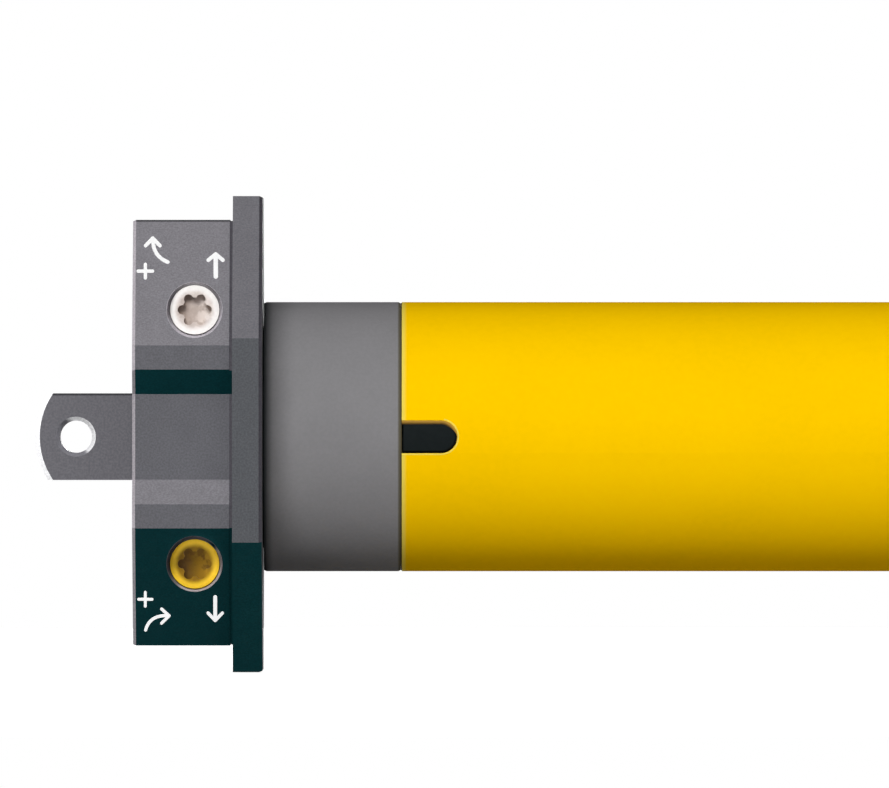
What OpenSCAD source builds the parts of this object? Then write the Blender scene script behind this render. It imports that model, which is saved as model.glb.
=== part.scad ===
// Tubular roller blind motor, 50 mm class, with a square bearing tenon.
// X runs along the motor axis from the head to the output shaft, Z is up and the
// limit screws face -Y. The origin is on the axis, in the front face of the head block.

/* [Head block] */
// Half width of the head block, from the axis to a side face
block_side = 39.5; // [38:0.1:42]
// Height of the block's top face above the axis
block_up = 40.2; // [38.5:0.1:43]
// Depth of the block's bottom face below the axis
block_down = 38.7; // [38:0.1:42]
// Half height of the block's upright side faces
block_face = 16.9; // [16:0.1:17.5]
// Length of the block along the axis
block_len = 18.5; // [18:0.1:24]
// Thickness of the block's front wall
front_wall = 4.5; // [4:0.1:5]
// Thickness of the block's outer walls
block_wall = 3; // [2.5:0.1:3.5]
// Length of the bevels on the block's and the flange's outer edges
edge_chamfer = 0.6; // [0.3:0.1:1]
// Depth of these bevels in the outer faces
edge_inset = 0.25; // [0.1:0.05:0.5]
// Width of the shadow groove between block and flange
shadow_w = 0.55; // [0.3:0.05:0.8]
// Depth of the shadow groove between block and flange
shadow_d = 0.2; // [0.1:0.05:0.8]

/* [Cable channel] */
// Half height of the channel at the side face
channel_out = 12.45; // [11.5:0.05:13]
// Half height of the channel's floor
channel_in = 7.9; // [7.5:0.05:8.5]
// Depth of the channel
channel_d = 4.5; // [4.2:0.1:5]

/* [Flange] */
// Half width of the flange plate
flange_side = 44.1; // [43:0.1:46]
// Height of the flange's top face above the axis
flange_up = 44.6; // [44:0.1:46]
// Depth of the flange's bottom face below the axis
flange_down = 43.6; // [43:0.1:46]
// Height of the upper end of the flange's upright side faces
flange_face_up = 18.2; // [17.5:0.05:19.5]
// Depth of the lower end of these faces
flange_face_down = 19.5; // [18:0.05:20.5]
// Thickness of the flange plate
flange_t = 5.5; // [5:0.1:7]
// Thread diameter of the screws that hold the flange plate
flange_screw_d = 3; // [2.6:0.1:3.4]
// Depth of these screws in the head block
flange_screw_grip = 8; // [6:0.5:9]
// Thread diameter of the screws that hold the limit switch housing
housing_screw_d = 2.8; // [2.4:0.1:3]
// Depth of these screws in the housing
housing_screw_grip = 8; // [6:0.5:9]

/* [Tenon] */
// Width and height of the square tenon
tenon_w = 16.1; // [15:0.1:16.5]
// Length of the tenon in front of the block
tenon_len = 18.2; // [16:0.1:22]
// Radius of the tenon's rounded end
tenon_round = 15; // [14:0.1:20]
// Width of the bevel on the rounded end
tenon_bevel = 0.8; // [0.4:0.1:1.2]
// Diameter of the split pin hole through the tenon
tenon_hole_d = 6; // [5:0.1:7]
// Width of the bevel round the pin hole
tenon_hole_rim = 0.7; // [0.3:0.1:1]
// Distance of the pin hole from the block's front face
tenon_hole_x = 10.7; // [9.5:0.1:11.5]
// Thickness of the tenon's foot behind the front wall
foot_t = 3.4; // [3:0.1:3.6]
// Thread diameter of the foot's screws
foot_screw_d = 3.5; // [3:0.1:3.6]
// Half length of each arm of the foot
foot_arm = 20.2; // [20:0.1:21]
// Distance of the foot's screws from the axis
foot_screw_r = 16.6; // [16.4:0.1:17]

/* [Bolt pattern] */
// Diameter of the four mounting holes in the front face
bolt_d = 5; // [4:0.1:5.2]
// Diameter of the circle of mounting holes
bolt_circle = 46; // [45:0.5:47]
// Depth of the mounting holes
bolt_depth = 12; // [8:0.5:12]
// Diameter of the bosses round the mounting holes
bolt_boss_d = 9.4; // [9:0.1:9.6]

/* [Limit screws] */
// Distance of the limit screws from the front face
screw_x = 11.5; // [11:0.05:11.9]
// Height of the limit screws above and below the axis
screw_z = 23.5; // [23.4:0.1:24]
// Diameter of a limit screw's head
screw_head_d = 9.1; // [8.6:0.1:9.4]
// Diameter of the recess round the head
screw_recess_d = 10.3; // [10:0.1:10.8]
// Distance of the head's face from the axis
screw_face_y = 27.8; // [26.5:0.1:28.2]
// Length of the head
screw_head_len = 4; // [3.5:0.1:4.5]
// Diameter of the stem
screw_stem_d = 6; // [5.6:0.1:6.2]
// Diameter of the worm's core
worm_d = 4.6; // [4:0.1:4.8]
// Outer diameter of the six-lobed socket
lobe_out_d = 6.3; // [6:0.1:6.8]
// Inner diameter of the six-lobed socket
lobe_in_d = 4.6; // [4.2:0.1:4.8]
// Depth of the six-lobed socket
lobe_depth = 3; // [2:0.1:3]
// Wire diameter of the screw seals
seal_d = 0.9; // [0.8:0.05:1]

/* [Cable socket] */
// Width of the socket along the axis
socket_w = 10; // [9.5:0.1:10.4]
// Height of the socket
socket_h = 15.2; // [14.5:0.1:15.4]
// Depth of the socket
socket_d = 11; // [10:0.1:12]
// Thickness of the socket's walls
socket_wall = 1.3; // [1:0.1:1.5]
// Diameter of a contact pin
contact_d = 1.4; // [1:0.1:1.6]
// Length of a contact pin
contact_len = 8.3; // [7:0.1:9]
// Distance between neighbouring contact pins
contact_pitch = 3; // [2.6:0.1:3.2]

/* [Crown] */
// Height of the crown's surface above the tube's
crown_over = 0; // [-0.3:0.05:0.3]
// Wall thickness of the crown outside its inner teeth
crown_wall = 2.44; // [2:0.02:2.8]
// Length of the crown's place between flange and tube
crown_len = 25.8; // [25:0.1:32]
// Running gap at each end of the crown
crown_gap = 0.2; // [0.15:0.05:0.5]
// Length of the flat bevels on the crown's edges
crown_bevel = 0.45; // [0.1:0.05:0.6]
// Length of the crown's inner teeth along the axis
crown_teeth_w = 6; // [5.5:0.1:7]
// Distance of the crown's inner teeth from the flange
crown_teeth_x = 3.5; // [3.2:0.1:4]

/* [Tube] */
// Outer diameter of the motor tube
tube_d = 50; // [49.8:0.1:51]
// Wall thickness of the motor tube
tube_wall = 1.2; // [1:0.05:1.3]
// Length of the slot that the housing's lug locks in
slot_len = 10.3; // [9:0.1:12]
// Width of that slot
slot_w = 6.1; // [5.6:0.1:7]
// Gap between lug and slot on each side
slot_gap = 0.45; // [0.2:0.05:0.5]
// Depth of the lug's face below the tube's surface
lug_sunk = 0.4; // [0.2:0.05:0.6]

/* [Limit switch] */
// Length of the limit switch housing's rim behind its end plate
housing_rim = 4; // [3:0.5:8]
// Wall thickness of the housing's journal
journal_wall = 2; // [1.8:0.1:2.1]
// Thickness of the housing's front wall
journal_front = 3; // [2.5:0.1:3.2]
// Height of the threaded spindles above and below the axis
spindle_z = 7.2; // [7.15:0.05:7.3]
// Diameter of the threaded spindles
spindle_d = 4; // [3.6:0.1:4.2]
// Travel of a trip plate each way
trip_travel = 7.5; // [7:0.1:8]
// Height of the setting pinions above and below the axis
pinion_z = 11; // [10.9:0.05:11.1]
// Diameter of the setting pinion's shaft
pinion_shaft_d = 3.5; // [3:0.1:3.6]
// Thickness of the plates that carry the spindles
plate_t = 2.2; // [2:0.1:3]
// Width of a limit nut
nut_w = 4; // [3.5:0.1:4.5]
// Thickness of a trip plate's cheeks
cheek_t = 1.5; // [1.2:0.1:1.8]
// Length of a limit switch's body
switch_len = 12.8; // [12:0.1:13.5]
// Height of a limit switch's body
switch_h = 6; // [5.5:0.1:6.5]
// Depth of a limit switch's body
switch_d = 9.6; // [9:0.1:10]
// Travel of a limit switch's plunger
plunger_travel = 0.6; // [0.4:0.1:0.8]

/* [Motor] */
// Length of the capacitor
capacitor_len = 56; // [40:1:70]
// Diameter of the capacitor
capacitor_d = 30; // [28:0.5:34]
// Length of the stator's laminated core
core_len = 90; // [60:1:120]
// Diameter of the stator's bore
bore_d = 26.8; // [26:0.1:28]
// Air gap between rotor and stator
air_gap = 0.35; // [0.3:0.05:0.5]
// Number of stator slots
slot_count = 12; // [12:4:24]
// Length of the windings' ends beyond the core
winding_end = 9; // [7:0.5:10]
// Diameter of the rotor shaft
shaft_d = 8; // [7.6:0.1:8.2]
// Thickness of the motor's end shields
shield_t = 9; // [8.5:0.1:11]
// Outer diameter of the motor's ball bearings
bearing_d = 22; // [21:0.5:24]
// Width of the motor's ball bearings
bearing_w = 7; // [6:0.1:7.5]

/* [Brake] */
// Length of the brake's coil
coil_len = 12; // [10:0.5:13]
// Thickness of the brake's armature plate
armature_t = 3; // [2.5:0.1:4]
// Travel of the armature plate
armature_travel = 0.6; // [0.4:0.1:0.8]
// Thickness of the brake disc
disc_t = 5; // [4:0.1:6]

/* [Gearbox] */
// Wall thickness of the gear housing outside its inner teeth
ring_wall = 2.55; // [2:0.05:3]
// Width of the first stage's planets
planet_w1 = 9; // [8:0.5:12]
// Width of the second stage's planets
planet_w2 = 12; // [10:0.5:14]
// Width of the third stage's planets
planet_w3 = 16; // [12:0.5:18]
// Diameter of the planet pins
planet_pin_d = 4.4; // [4:0.1:5]
// Thickness of the carriers
carrier_t = 4; // [3:0.1:6]
// Gap between the carriers and the gear housing's teeth
carrier_gap = 2; // [1:0.1:3]

/* [Output] */
// Diameter of the output shaft in its bearing
output_d = 18; // [16:0.1:20]
// Length of the output bearing
output_bearing_len = 14; // [12:0.5:18]
// Thickness of the gear housing's end collar
collar_t = 4; // [3:0.1:6]
// Distance of the rivets from the end of the tube
rivet_back = 8; // [6:0.5:10]
// Diameter of the rivets
rivet_d = 4; // [3:0.1:5]
// Depth of the rivets in the gear housing
rivet_grip = 2.7; // [2:0.1:3]
// Diameter of the drive end
drive_d = 14; // [13:0.1:15]
// Distance across the drive end's two flats
drive_flats = 11; // [10:0.1:12]
// Length of the drive end beyond the collar
drive_len = 21; // [18:0.5:30]
// Width of the groove for the retaining clip
clip_w = 1.2; // [1:0.1:1.5]

/* [Fits] */
// Gap all round where one piece is pushed into another
fit_gap = 0.1; // [0.05:0.01:0.12]
// Gap all round where a shaft or wheel turns
run_gap = 0.12; // [0.08:0.01:0.15]
// Gap all round between the motor's shaft and its ball bearings
bearing_gap = 0.04; // [0.02:0.01:0.08]
// Play between meshing teeth, measured along the pitch circle
tooth_play = 0.14; // [0.1:0.01:0.16]

/* [Hidden] */
$fn = 64;
eps = 0.02;

// Small lengths that only bigger ones above depend on
foot_room = 0.6;
wheel_w = crown_teeth_w - 1;
spindle_gear_w = 5;
housing_start = 0.3;
nut_side_gap = 0.3;
plunger_out = 1.7;
switch_gap = 1.2;
capacitor_gap = 6;
cradle_t = 3;
shield_gap = 8;
winding_gap = 1;
cup_gap = 2;
cup_floor = 3;
armature_slack = 0.2;
disc_gap = 0.1;
hub_over = 1;
gear_gap = 3;
stage_gap = 1;
carrier_play = 0.5;

// Stations along the axis
x_flange = block_len;
x_crown = x_flange + flange_t;
x_tube = x_crown + crown_len;
x_wheel = x_crown + crown_teeth_x + (crown_teeth_w - wheel_w) / 2;
x_spindle_gear = x_wheel + wheel_w + 1;
x_mid_plate = x_spindle_gear + spindle_gear_w + 2;
x_trip = x_mid_plate + plate_t + 6 + trip_travel;
trip_len = nut_w + 2 * cheek_t + 2 * nut_side_gap;
x_plunger = x_trip + trip_len + trip_travel + nut_side_gap;
x_switch = x_plunger + plunger_out;
x_end_plate = x_switch + switch_len + switch_gap;
x_housing_end = x_end_plate + plate_t + housing_rim;
x_capacitor = x_housing_end + capacitor_gap;
x_front_shield = x_capacitor + capacitor_len + shield_gap;
x_core = x_front_shield + shield_t + winding_end + winding_gap;
x_rear_shield = x_core + core_len + winding_end + winding_gap;
x_cup = x_rear_shield + shield_t + cup_gap;
x_coil = x_cup + cup_floor;
x_armature = x_coil + coil_len + armature_travel + armature_slack;
x_disc = x_armature + armature_t + disc_gap;
cup_len = x_disc + disc_t + hub_over - x_cup;
x_gear = x_cup + cup_len + gear_gap;
x_stage1 = x_gear + gear_gap;
x_carrier1 = x_stage1 + planet_w1 + carrier_play;
x_stage2 = x_carrier1 + carrier_t + stage_gap;
x_carrier2 = x_stage2 + planet_w2 + carrier_play;
x_stage3 = x_carrier2 + carrier_t + stage_gap;
x_carrier3 = x_stage3 + planet_w3 + carrier_play;
x_ring_end = x_carrier3 + carrier_t + 2;
x_bearing = x_ring_end + 2.5;
x_collar = x_bearing + output_bearing_len;
x_drive = x_collar + collar_t;
x_clip = x_drive + drive_len - 5;
x_rivet = x_collar - rivet_back;

// Radii
tube_r = tube_d / 2;
tube_in = tube_r - tube_wall;
body_r = tube_in - fit_gap;
crown_r = tube_r + crown_over;
shaft_r = shaft_d / 2;
pinion_r = pinion_shaft_d / 2;
spindle_r = spindle_d / 2;
rivet_r = rivet_d / 2;
journal_pivot = 1.5;
pivot_r = 1.2;
axle_r = 1.25;
plunger_r = 0.9;

// Teeth
pressure = 25;
crown_z = 54;
limit_m = (crown_r - crown_wall) / (crown_z / 2 + 1.2);
wheel_z = 18;
train_m = 0.6;
cluster_z = 12;
spindle_z_count = 21;
nut_m = 0.5;
nut_z = 24;
setting_z = 12;
worm_wheel_z = 32;
sun_z = 12;
planet_z = 21;
ring_z = 54;
gear_m = (body_r - ring_wall) / (ring_z / 2 + 1.2);
crown_pitch_r = limit_m * crown_z / 2;
journal_r = crown_pitch_r - limit_m - 0.2;
cavity_r = journal_r - journal_wall;
cluster_y = crown_pitch_r - limit_m * wheel_z / 2;
train_reach = train_m * (cluster_z + spindle_z_count) / 2;
spindle_y = cluster_y - sqrt(train_reach ^ 2 - spindle_z ^ 2);
nut_reach = nut_m * (nut_z + setting_z) / 2;
pinion_y = spindle_y - sqrt(nut_reach ^ 2 - (pinion_z - spindle_z) ^ 2);
nut_tip_r = nut_m * (nut_z / 2 + 1);
pinion_tip_r = nut_m * (setting_z / 2 + 1);
worm_wheel_tip = screw_z - pinion_z - worm_d / 2 - 0.1;
planet_reach = gear_m * (sun_z + planet_z) / 2;
carrier_r = gear_m * (ring_z / 2 - 1) - carrier_gap;

// Head fittings, each as y and z
adjust_x0 = front_wall + foot_t + foot_room;
channel_floor = block_side - channel_d;
inner_side = channel_floor - block_wall;
flange_screw_at = [[29, 13], [-29, 13], [29, -13], [-29, -13], [0, 33], [0, -33]];
housing_screw_at = [[-13, 9], [-13, -9], [5.5, 15.6], [5.5, -15.6]];
bolt_at = [for (a = [45:90:315]) bolt_circle / 2 * [cos(a), sin(a)]];
foot_screw_at = [for (a = [0:90:270]) foot_screw_r * [cos(a), sin(a)]];
lead_hole_y = -9;
socket_x = 5.6;
wheel_half = 2.8;
lead_hole_r = 4.5;
flange_boss_r = 4;
foot_screw_grip = 3.2;
foot_head_r = foot_screw_d / 2 + 1.45;
flange_head_r = flange_screw_d / 2 + 2;
housing_head_r = housing_screw_d / 2 + 1.3;
head_room = 0.5;
housing_screw_hole = 12;
recess_bevel = 0.8;
head_back = 0.2;
foot_tip_room = 0.4;
pivot_start = 1.2;
barrel_wall = 1.6;
barrel_end = 9;
pivot_wall_y = 8.4;
pivot_wall_t = 3;
pivot_wall_z = 20;
stem_end = 7.5;
worm_half = 5.5;
worm_end = 8.2;
pivot_end = 11;
seal_y = 19;
socket_floor = 3;
contact_back = 2;

// Limit switch fittings
crown_play = 0.2;
wheel_room = 0.6;
pivot_floor = 0.8;
thrust_gap = 1;
cluster_over = 1.6;
nut_clear = 0.4;
arm_clear = 0.6;
push_half = 1.5;
switch_shift = 0.6;
plunger_hole = 3;
plunger_in = 1.5;
board_front = 12;
frame_hole_at = [-8, 12];
window_half = 8.3;
seat_step = 0.8;
rail_y = -5;
rail_w = 6.6;
rail_h = 3.2;
frame_hole_r = 3;
web_t = 1.4;
web_y = spindle_y - nut_tip_r - nut_clear - web_t;
plunger_y = -5;
plunger_z = 4.4;
board_t = 1.6;
board_gap = 1.72;
switch_y = plunger_y + 2.6 - switch_d;

// Motor, brake and gearbox fittings
shield_rim = 2.2;
window_r = 3;
window_at = (bearing_d / 2 + body_r - shield_rim) / 2;
slot_edge = 2.6;
slot_mouth = 1.6;
slot_mid_r = (bore_d / 2 + body_r) / 2;
slot_half = (body_r - bore_d / 2) / 2 - slot_edge;
slot_r = 0.86 * slot_half;
coil_in = 10.5;
cup_wall = 2.2;
cup_in = body_r - cup_wall;
ear_gap = 0.2;
press_gap = 0.05;
ear_r = cup_in + 1.2;
ear_w = 5;
spring_r = 7.8;
spring_wire = 0.6;
spring_x0 = x_coil + spring_wire + press_gap;
spring_seat = 0.8;
spring_x1 = x_armature + spring_seat - spring_wire - press_gap;
spring_turns = 4;
spring_rings = 12 * spring_turns;
output_seat_r = output_d / 2 + 6;
rivet_over = 0.5;
rivet_sunk = 0.05;
drive_bevel = 1;
clip_depth = 1;
clip_over = 1.4;
clip_open = 3.2;
seat_lip = 2.5;

// Places a shape drawn in y and z so that it grows along the motor axis from x
module along_x(x) {
    translate([x, 0, 0]) rotate([90, 0, 90]) children();
}

// Places a shape that grows along Y from y
module along_y(x, y, z) {
    translate([x, y, z]) rotate([-90, 0, 0]) children();
}

// Cylinder on a line parallel to the motor axis
module rod(x, len, r, y = 0, z = 0) {
    translate([x, y, z]) rotate([0, 90, 0]) cylinder(h = len, r = r);
}

// Ring on the motor axis
module ring(x, len, r_out, r_in) {
    difference() {
        rod(x, len, r_out);
        rod(x - 1, len + 2, r_in);
    }
}

// Involute of an angle, in degrees
function involute(a) = tan(a) * 180 / PI - a;

// Half the angle that a tooth takes up at radius r
function tooth_half(z, m, play, r) =
    let (pitch_r = m * z / 2)
    90 / z - play / pitch_r * 90 / PI + involute(pressure)
    - involute(acos(min(1, pitch_r * cos(pressure) / r)));

// Outline of a gear whose first tooth is centred on the first axis
function gear_points(z, m, add, ded, play) =
    let (
        pitch_r = m * z / 2,
        low = pitch_r - ded,
        start = max(low + 0.05 * m, pitch_r * cos(pressure)),
        tip = pitch_r + add,
        radii = [low, start, (start + tip) / 2, tip]
    )
    [for (k = [0:z - 1], j = [0:7])
        let (
            r = radii[j < 4 ? j : 7 - j],
            a = 360 * k / z + (j < 4 ? -1 : 1) * tooth_half(z, m, play, r)
        )
        r * [cos(a), sin(a)]];

// Turn that meshes gear 2 with gear 1, which has a tooth on the first axis
function mesh_turn(z1, z2, direction) = direction * (1 + z1 / z2) + 180 + 180 / z2;

module gear_outline(z, m) {
    polygon(gear_points(z, m, m, 1.2 * m, tooth_play));
}

// The hole that an internal gear leaves open
module ring_outline(z, m) {
    polygon(gear_points(z, m, 1.2 * m, m, -tooth_play));
}

// Octagon with 45 degree corners, drawn in y and z, drawn in by inset
module octagon(side, up, down, face_up, face_down, inset = 0) {
    s = side - inset;
    u = up - inset;
    d = down - inset;
    fu = face_up - inset * tan(22.5);
    fd = face_down - inset * tan(22.5);
    polygon([
        [s, fu], [s - (u - fu), u], [-s + (u - fu), u], [-s, fu],
        [-s, -fd], [-s + (d - fd), -d], [s - (d - fd), -d], [s, -fd]
    ]);
}

module block_octagon(inset = 0) {
    octagon(block_side, block_up, block_down, block_face, block_face, inset);
}

module flange_octagon(inset = 0) {
    octagon(flange_side, flange_up, flange_down, flange_face_up, flange_face_down, inset);
}

// Countersunk screw that points along +X, its head's face at x
module countersunk(x, len, r, head_r, y, z) {
    head_h = head_r - r;
    translate([x, y, z]) rotate([0, 90, 0]) difference() {
        union() {
            cylinder(h = head_h, r1 = head_r, r2 = r);
            cylinder(h = len, r = r);
        }
        for (a = [0, 90]) {
            rotate([0, 0, a]) translate([-r, -r / 5, -eps]) cube([2 * r, r / 2.5, head_h + eps]);
        }
    }
}

// Room for a countersunk screw
module countersunk_room(x, len, r, head_r, y, z) {
    translate([x, y, z]) rotate([0, 90, 0]) {
        cylinder(h = head_r - r + fit_gap, r1 = head_r + fit_gap, r2 = r);
        cylinder(h = len + fit_gap, r = r + fit_gap);
        translate([0, 0, -1]) cylinder(h = 1 + eps, r = head_r + fit_gap);
    }
}

// Channel along a side face: side is 1 for +Y and -1 for -Y
module channel(side) {
    along_x(-1) linear_extrude(block_len + 2) polygon([
        [side * (block_side + 1), channel_out + 1], [side * channel_floor, channel_in],
        [side * channel_floor, -channel_in], [side * (block_side + 1), -channel_out - 1]
    ]);
}

module block_outer() {
    hull() {
        along_x(0) linear_extrude(eps) block_octagon(edge_inset);
        along_x(edge_chamfer) linear_extrude(eps) block_octagon();
    }
    along_x(edge_chamfer) linear_extrude(block_len - shadow_w - edge_chamfer) block_octagon();
    along_x(edge_chamfer) linear_extrude(block_len - edge_chamfer) block_octagon(shadow_d);
}

module block_pocket() {
    along_x(front_wall) linear_extrude(block_len) intersection() {
        block_octagon(block_wall);
        square([2 * inner_side, 2 * block_up], center = true);
    }
}

module screw_barrel(side) {
    intersection() {
        block_outer();
        along_y(screw_x, -block_side, side * screw_z)
            cylinder(h = block_side - barrel_end, r = screw_recess_d / 2 + barrel_wall);
    }
    translate([front_wall - 1, pivot_wall_y, side > 0 ? pivot_wall_z : -block_down])
        cube([block_len - front_wall - 2, pivot_wall_t, block_down - pivot_wall_z]);
}

module screw_room(side) {
    head_r = screw_head_d / 2 + run_gap;
    along_y(screw_x, -block_side - 1, side * screw_z)
        cylinder(h = block_side + 1 - screw_face_y, r = screw_recess_d / 2);
    along_y(screw_x, -screw_face_y - eps, side * screw_z)
        cylinder(h = recess_bevel, r1 = screw_recess_d / 2, r2 = head_r);
    along_y(screw_x, -screw_face_y, side * screw_z)
        cylinder(h = screw_head_len + head_back, r = head_r);
    along_y(screw_x, -screw_face_y, side * screw_z)
        cylinder(h = screw_face_y + stem_end, r = screw_stem_d / 2 + run_gap);
    along_y(screw_x, 0, side * screw_z) cylinder(h = pivot_end + 1, r = journal_pivot + run_gap);
}

module head_block() {
    color("#65656b") difference() {
        union() {
            difference() {
                block_outer();
                block_pocket();
            }
            for (at = bolt_at) rod(front_wall - 1, bolt_depth, bolt_boss_d / 2, at[0], at[1]);
            for (at = flange_screw_at) {
                rod(front_wall - 1, block_len - front_wall + 1, flange_boss_r, at[0], at[1]);
            }
            for (side = [-1, 1]) screw_barrel(side);
        }
        for (side = [-1, 1]) {
            channel(side);
            screw_room(side);
        }
        for (at = bolt_at) rod(-1, bolt_depth + 1, bolt_d / 2, at[0], at[1]);
        for (at = flange_screw_at) {
            rod(block_len - flange_screw_grip - 4, flange_screw_grip + 5,
                flange_screw_d / 2 + fit_gap, at[0], at[1]);
        }
        for (at = foot_screw_at) {
            rod(front_wall - foot_screw_grip - foot_tip_room, foot_screw_grip + 1,
                foot_screw_d / 2 + fit_gap, at[0], at[1]);
        }
        translate([-1, -tenon_w / 2 - fit_gap, -tenon_w / 2 - fit_gap])
            cube([front_wall + 2, tenon_w + 2 * fit_gap, tenon_w + 2 * fit_gap]);
        translate([socket_x - fit_gap, inner_side - 1, -socket_h / 2 - fit_gap])
            cube([socket_w + 2 * fit_gap, channel_d + block_wall + 2, socket_h + 2 * fit_gap]);
    }
}

// Disc whose rim, bevelled on both faces, rounds off the tenon's end
module tenon_end() {
    reach = tenon_w / 2 + 1;
    flat_r = tenon_round - tenon_bevel - 1;
    rim_z = tenon_w / 2 - tenon_bevel;
    rotate_extrude() polygon([
        [0, -reach], [flat_r, -reach], [tenon_round, -rim_z], [tenon_round, rim_z], [flat_r, reach],
        [0, reach]
    ]);
}

module tenon() {
    half = tenon_w / 2;
    color("#66656a") difference() {
        union() {
            intersection() {
                translate([-tenon_len, -half, -half]) cube([tenon_len + front_wall + 1, tenon_w, tenon_w]);
                along_y(tenon_round - tenon_len, 0, 0) tenon_end();
            }
            translate([0, -half, -half]) cube([front_wall + 1, tenon_w, tenon_w]);
            for (arm = [[foot_arm, half], [half, foot_arm]]) {
                translate([front_wall, -arm[0], -arm[1]]) cube([foot_t, 2 * arm[0], 2 * arm[1]]);
            }
        }
        along_y(-tenon_hole_x, -tenon_w, 0) cylinder(h = 2 * tenon_w, r = tenon_hole_d / 2);
        for (side = [-1, 1]) {
            rod(front_wall + 1, foot_t, pivot_r + run_gap, pinion_y, side * pinion_z);
            along_y(-tenon_hole_x, side * (half - tenon_hole_rim), 0) mirror([0, 0, side < 0 ? 1 : 0])
                cylinder(h = tenon_hole_rim + 1, r1 = tenon_hole_d / 2,
                    r2 = tenon_hole_d / 2 + tenon_hole_rim + 1);
        }
        for (at = foot_screw_at) foot_screw_room(at);
    }
}

// A foot screw is driven from behind, so it points along -X
module foot_screw_place(at) {
    translate([front_wall + foot_t, at[0], at[1]]) mirror([1, 0, 0]) children();
}

module foot_screw_room(at) {
    foot_screw_place(at) countersunk_room(0, foot_t + 3, foot_screw_d / 2, foot_head_r, 0, 0);
}

module tenon_screws() {
    color("#8c8c90") for (at = foot_screw_at) {
        foot_screw_place(at) countersunk(0, foot_t + foot_screw_grip, foot_screw_d / 2, foot_head_r, 0, 0);
    }
}

module flange_plate() {
    color("#5a5b60") difference() {
        union() {
            along_x(x_flange) linear_extrude(flange_t - edge_chamfer) flange_octagon();
            hull() {
                along_x(x_crown - edge_chamfer - eps) linear_extrude(eps) flange_octagon();
                along_x(x_crown - eps) linear_extrude(eps) flange_octagon(edge_inset);
            }
        }
        for (at = flange_screw_at) {
            translate([x_crown, at[0], at[1]]) mirror([1, 0, 0])
                countersunk_room(0, flange_t + 1, flange_screw_d / 2 + head_room,
                    flange_head_r + head_room, 0, 0);
        }
        for (at = housing_screw_at) {
            countersunk_room(x_flange, flange_t + 1, housing_screw_d / 2 + fit_gap,
                housing_head_r + fit_gap, at[0], at[1]);
        }
        for (side = [-1, 1]) {
            rod(x_flange - 1, flange_t + 2, pinion_r + run_gap, pinion_y, side * pinion_z);
        }
        rod(x_flange - 1, flange_t + 2, lead_hole_r, lead_hole_y);
    }
}

module flange_screws() {
    color("#9a9a9e") for (at = flange_screw_at) {
        translate([x_crown - fit_gap, at[0], at[1]]) mirror([1, 0, 0])
            countersunk(0, flange_t + flange_screw_grip, flange_screw_d / 2, flange_head_r, 0, 0);
    }
}

module housing_screws() {
    color("#8c8c90") for (at = housing_screw_at) {
        countersunk(x_flange + fit_gap, flange_t + housing_screw_grip, housing_screw_d / 2,
            housing_head_r, at[0], at[1]);
    }
}

module lobed_socket() {
    lobe_r = (lobe_out_d - lobe_in_d) / 2;
    circle(r = lobe_in_d / 2, $fn = 48);
    for (a = [0:60:300]) {
        rotate(a) translate([lobe_out_d / 2 - lobe_r, 0]) circle(r = lobe_r, $fn = 24);
    }
}

module limit_screw(side) {
    worm_y = pinion_y - worm_half;
    along_y(screw_x, 0, side * screw_z) difference() {
        union() {
            translate([0, 0, -screw_face_y]) cylinder(h = screw_head_len, r = screw_head_d / 2);
            translate([0, 0, -screw_face_y]) cylinder(h = screw_face_y + worm_y, r = screw_stem_d / 2);
            translate([0, 0, worm_y - 1]) cylinder(h = worm_end + 1 - worm_y, r = worm_d / 2);
            cylinder(h = pivot_end, r = journal_pivot);
        }
        translate([0, 0, -screw_face_y - 1]) linear_extrude(lobe_depth + 1) lobed_socket();
        translate([0, 0, -seal_y]) difference() {
            cylinder(h = seal_d + 0.1, r = screw_stem_d);
            translate([0, 0, -1]) cylinder(h = seal_d + 2.1, r = screw_stem_d / 2 - seal_d + run_gap);
        }
    }
}

module limit_screw_up() {
    color("#f2efe9") limit_screw(1);
}

module limit_screw_down() {
    color("#f8cd28") limit_screw(-1);
}

module screw_seals() {
    color("#1d1d1f") for (side = [-1, 1]) {
        along_y(screw_x, seal_d / 2 + 0.05 - seal_y, side * screw_z) rotate_extrude()
            translate([screw_stem_d / 2 - seal_d / 2 + run_gap, 0]) circle(r = seal_d / 2 - 0.03, $fn = 24);
    }
}

module cable_socket() {
    y0 = channel_floor - socket_d;
    color("#26282c") difference() {
        translate([socket_x, y0, -socket_h / 2]) cube([socket_w, socket_d, socket_h]);
        translate([socket_x + socket_wall, y0 + socket_floor, -socket_h / 2 + socket_wall])
            cube([socket_w - 2 * socket_wall, socket_d, socket_h - 2 * socket_wall]);
        for (i = [-1.5:1:1.5]) {
            along_y(socket_x + socket_w / 2, y0 - 1, i * contact_pitch)
                cylinder(h = socket_floor + 2, r = contact_d / 2);
        }
    }
}

module contact_pins() {
    y0 = channel_floor - socket_d;
    color("#c9b26a") for (i = [-1.5:1:1.5]) {
        along_y(socket_x + socket_w / 2, y0 - contact_back, i * contact_pitch)
            cylinder(h = contact_len, r = contact_d / 2);
    }
}

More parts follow.
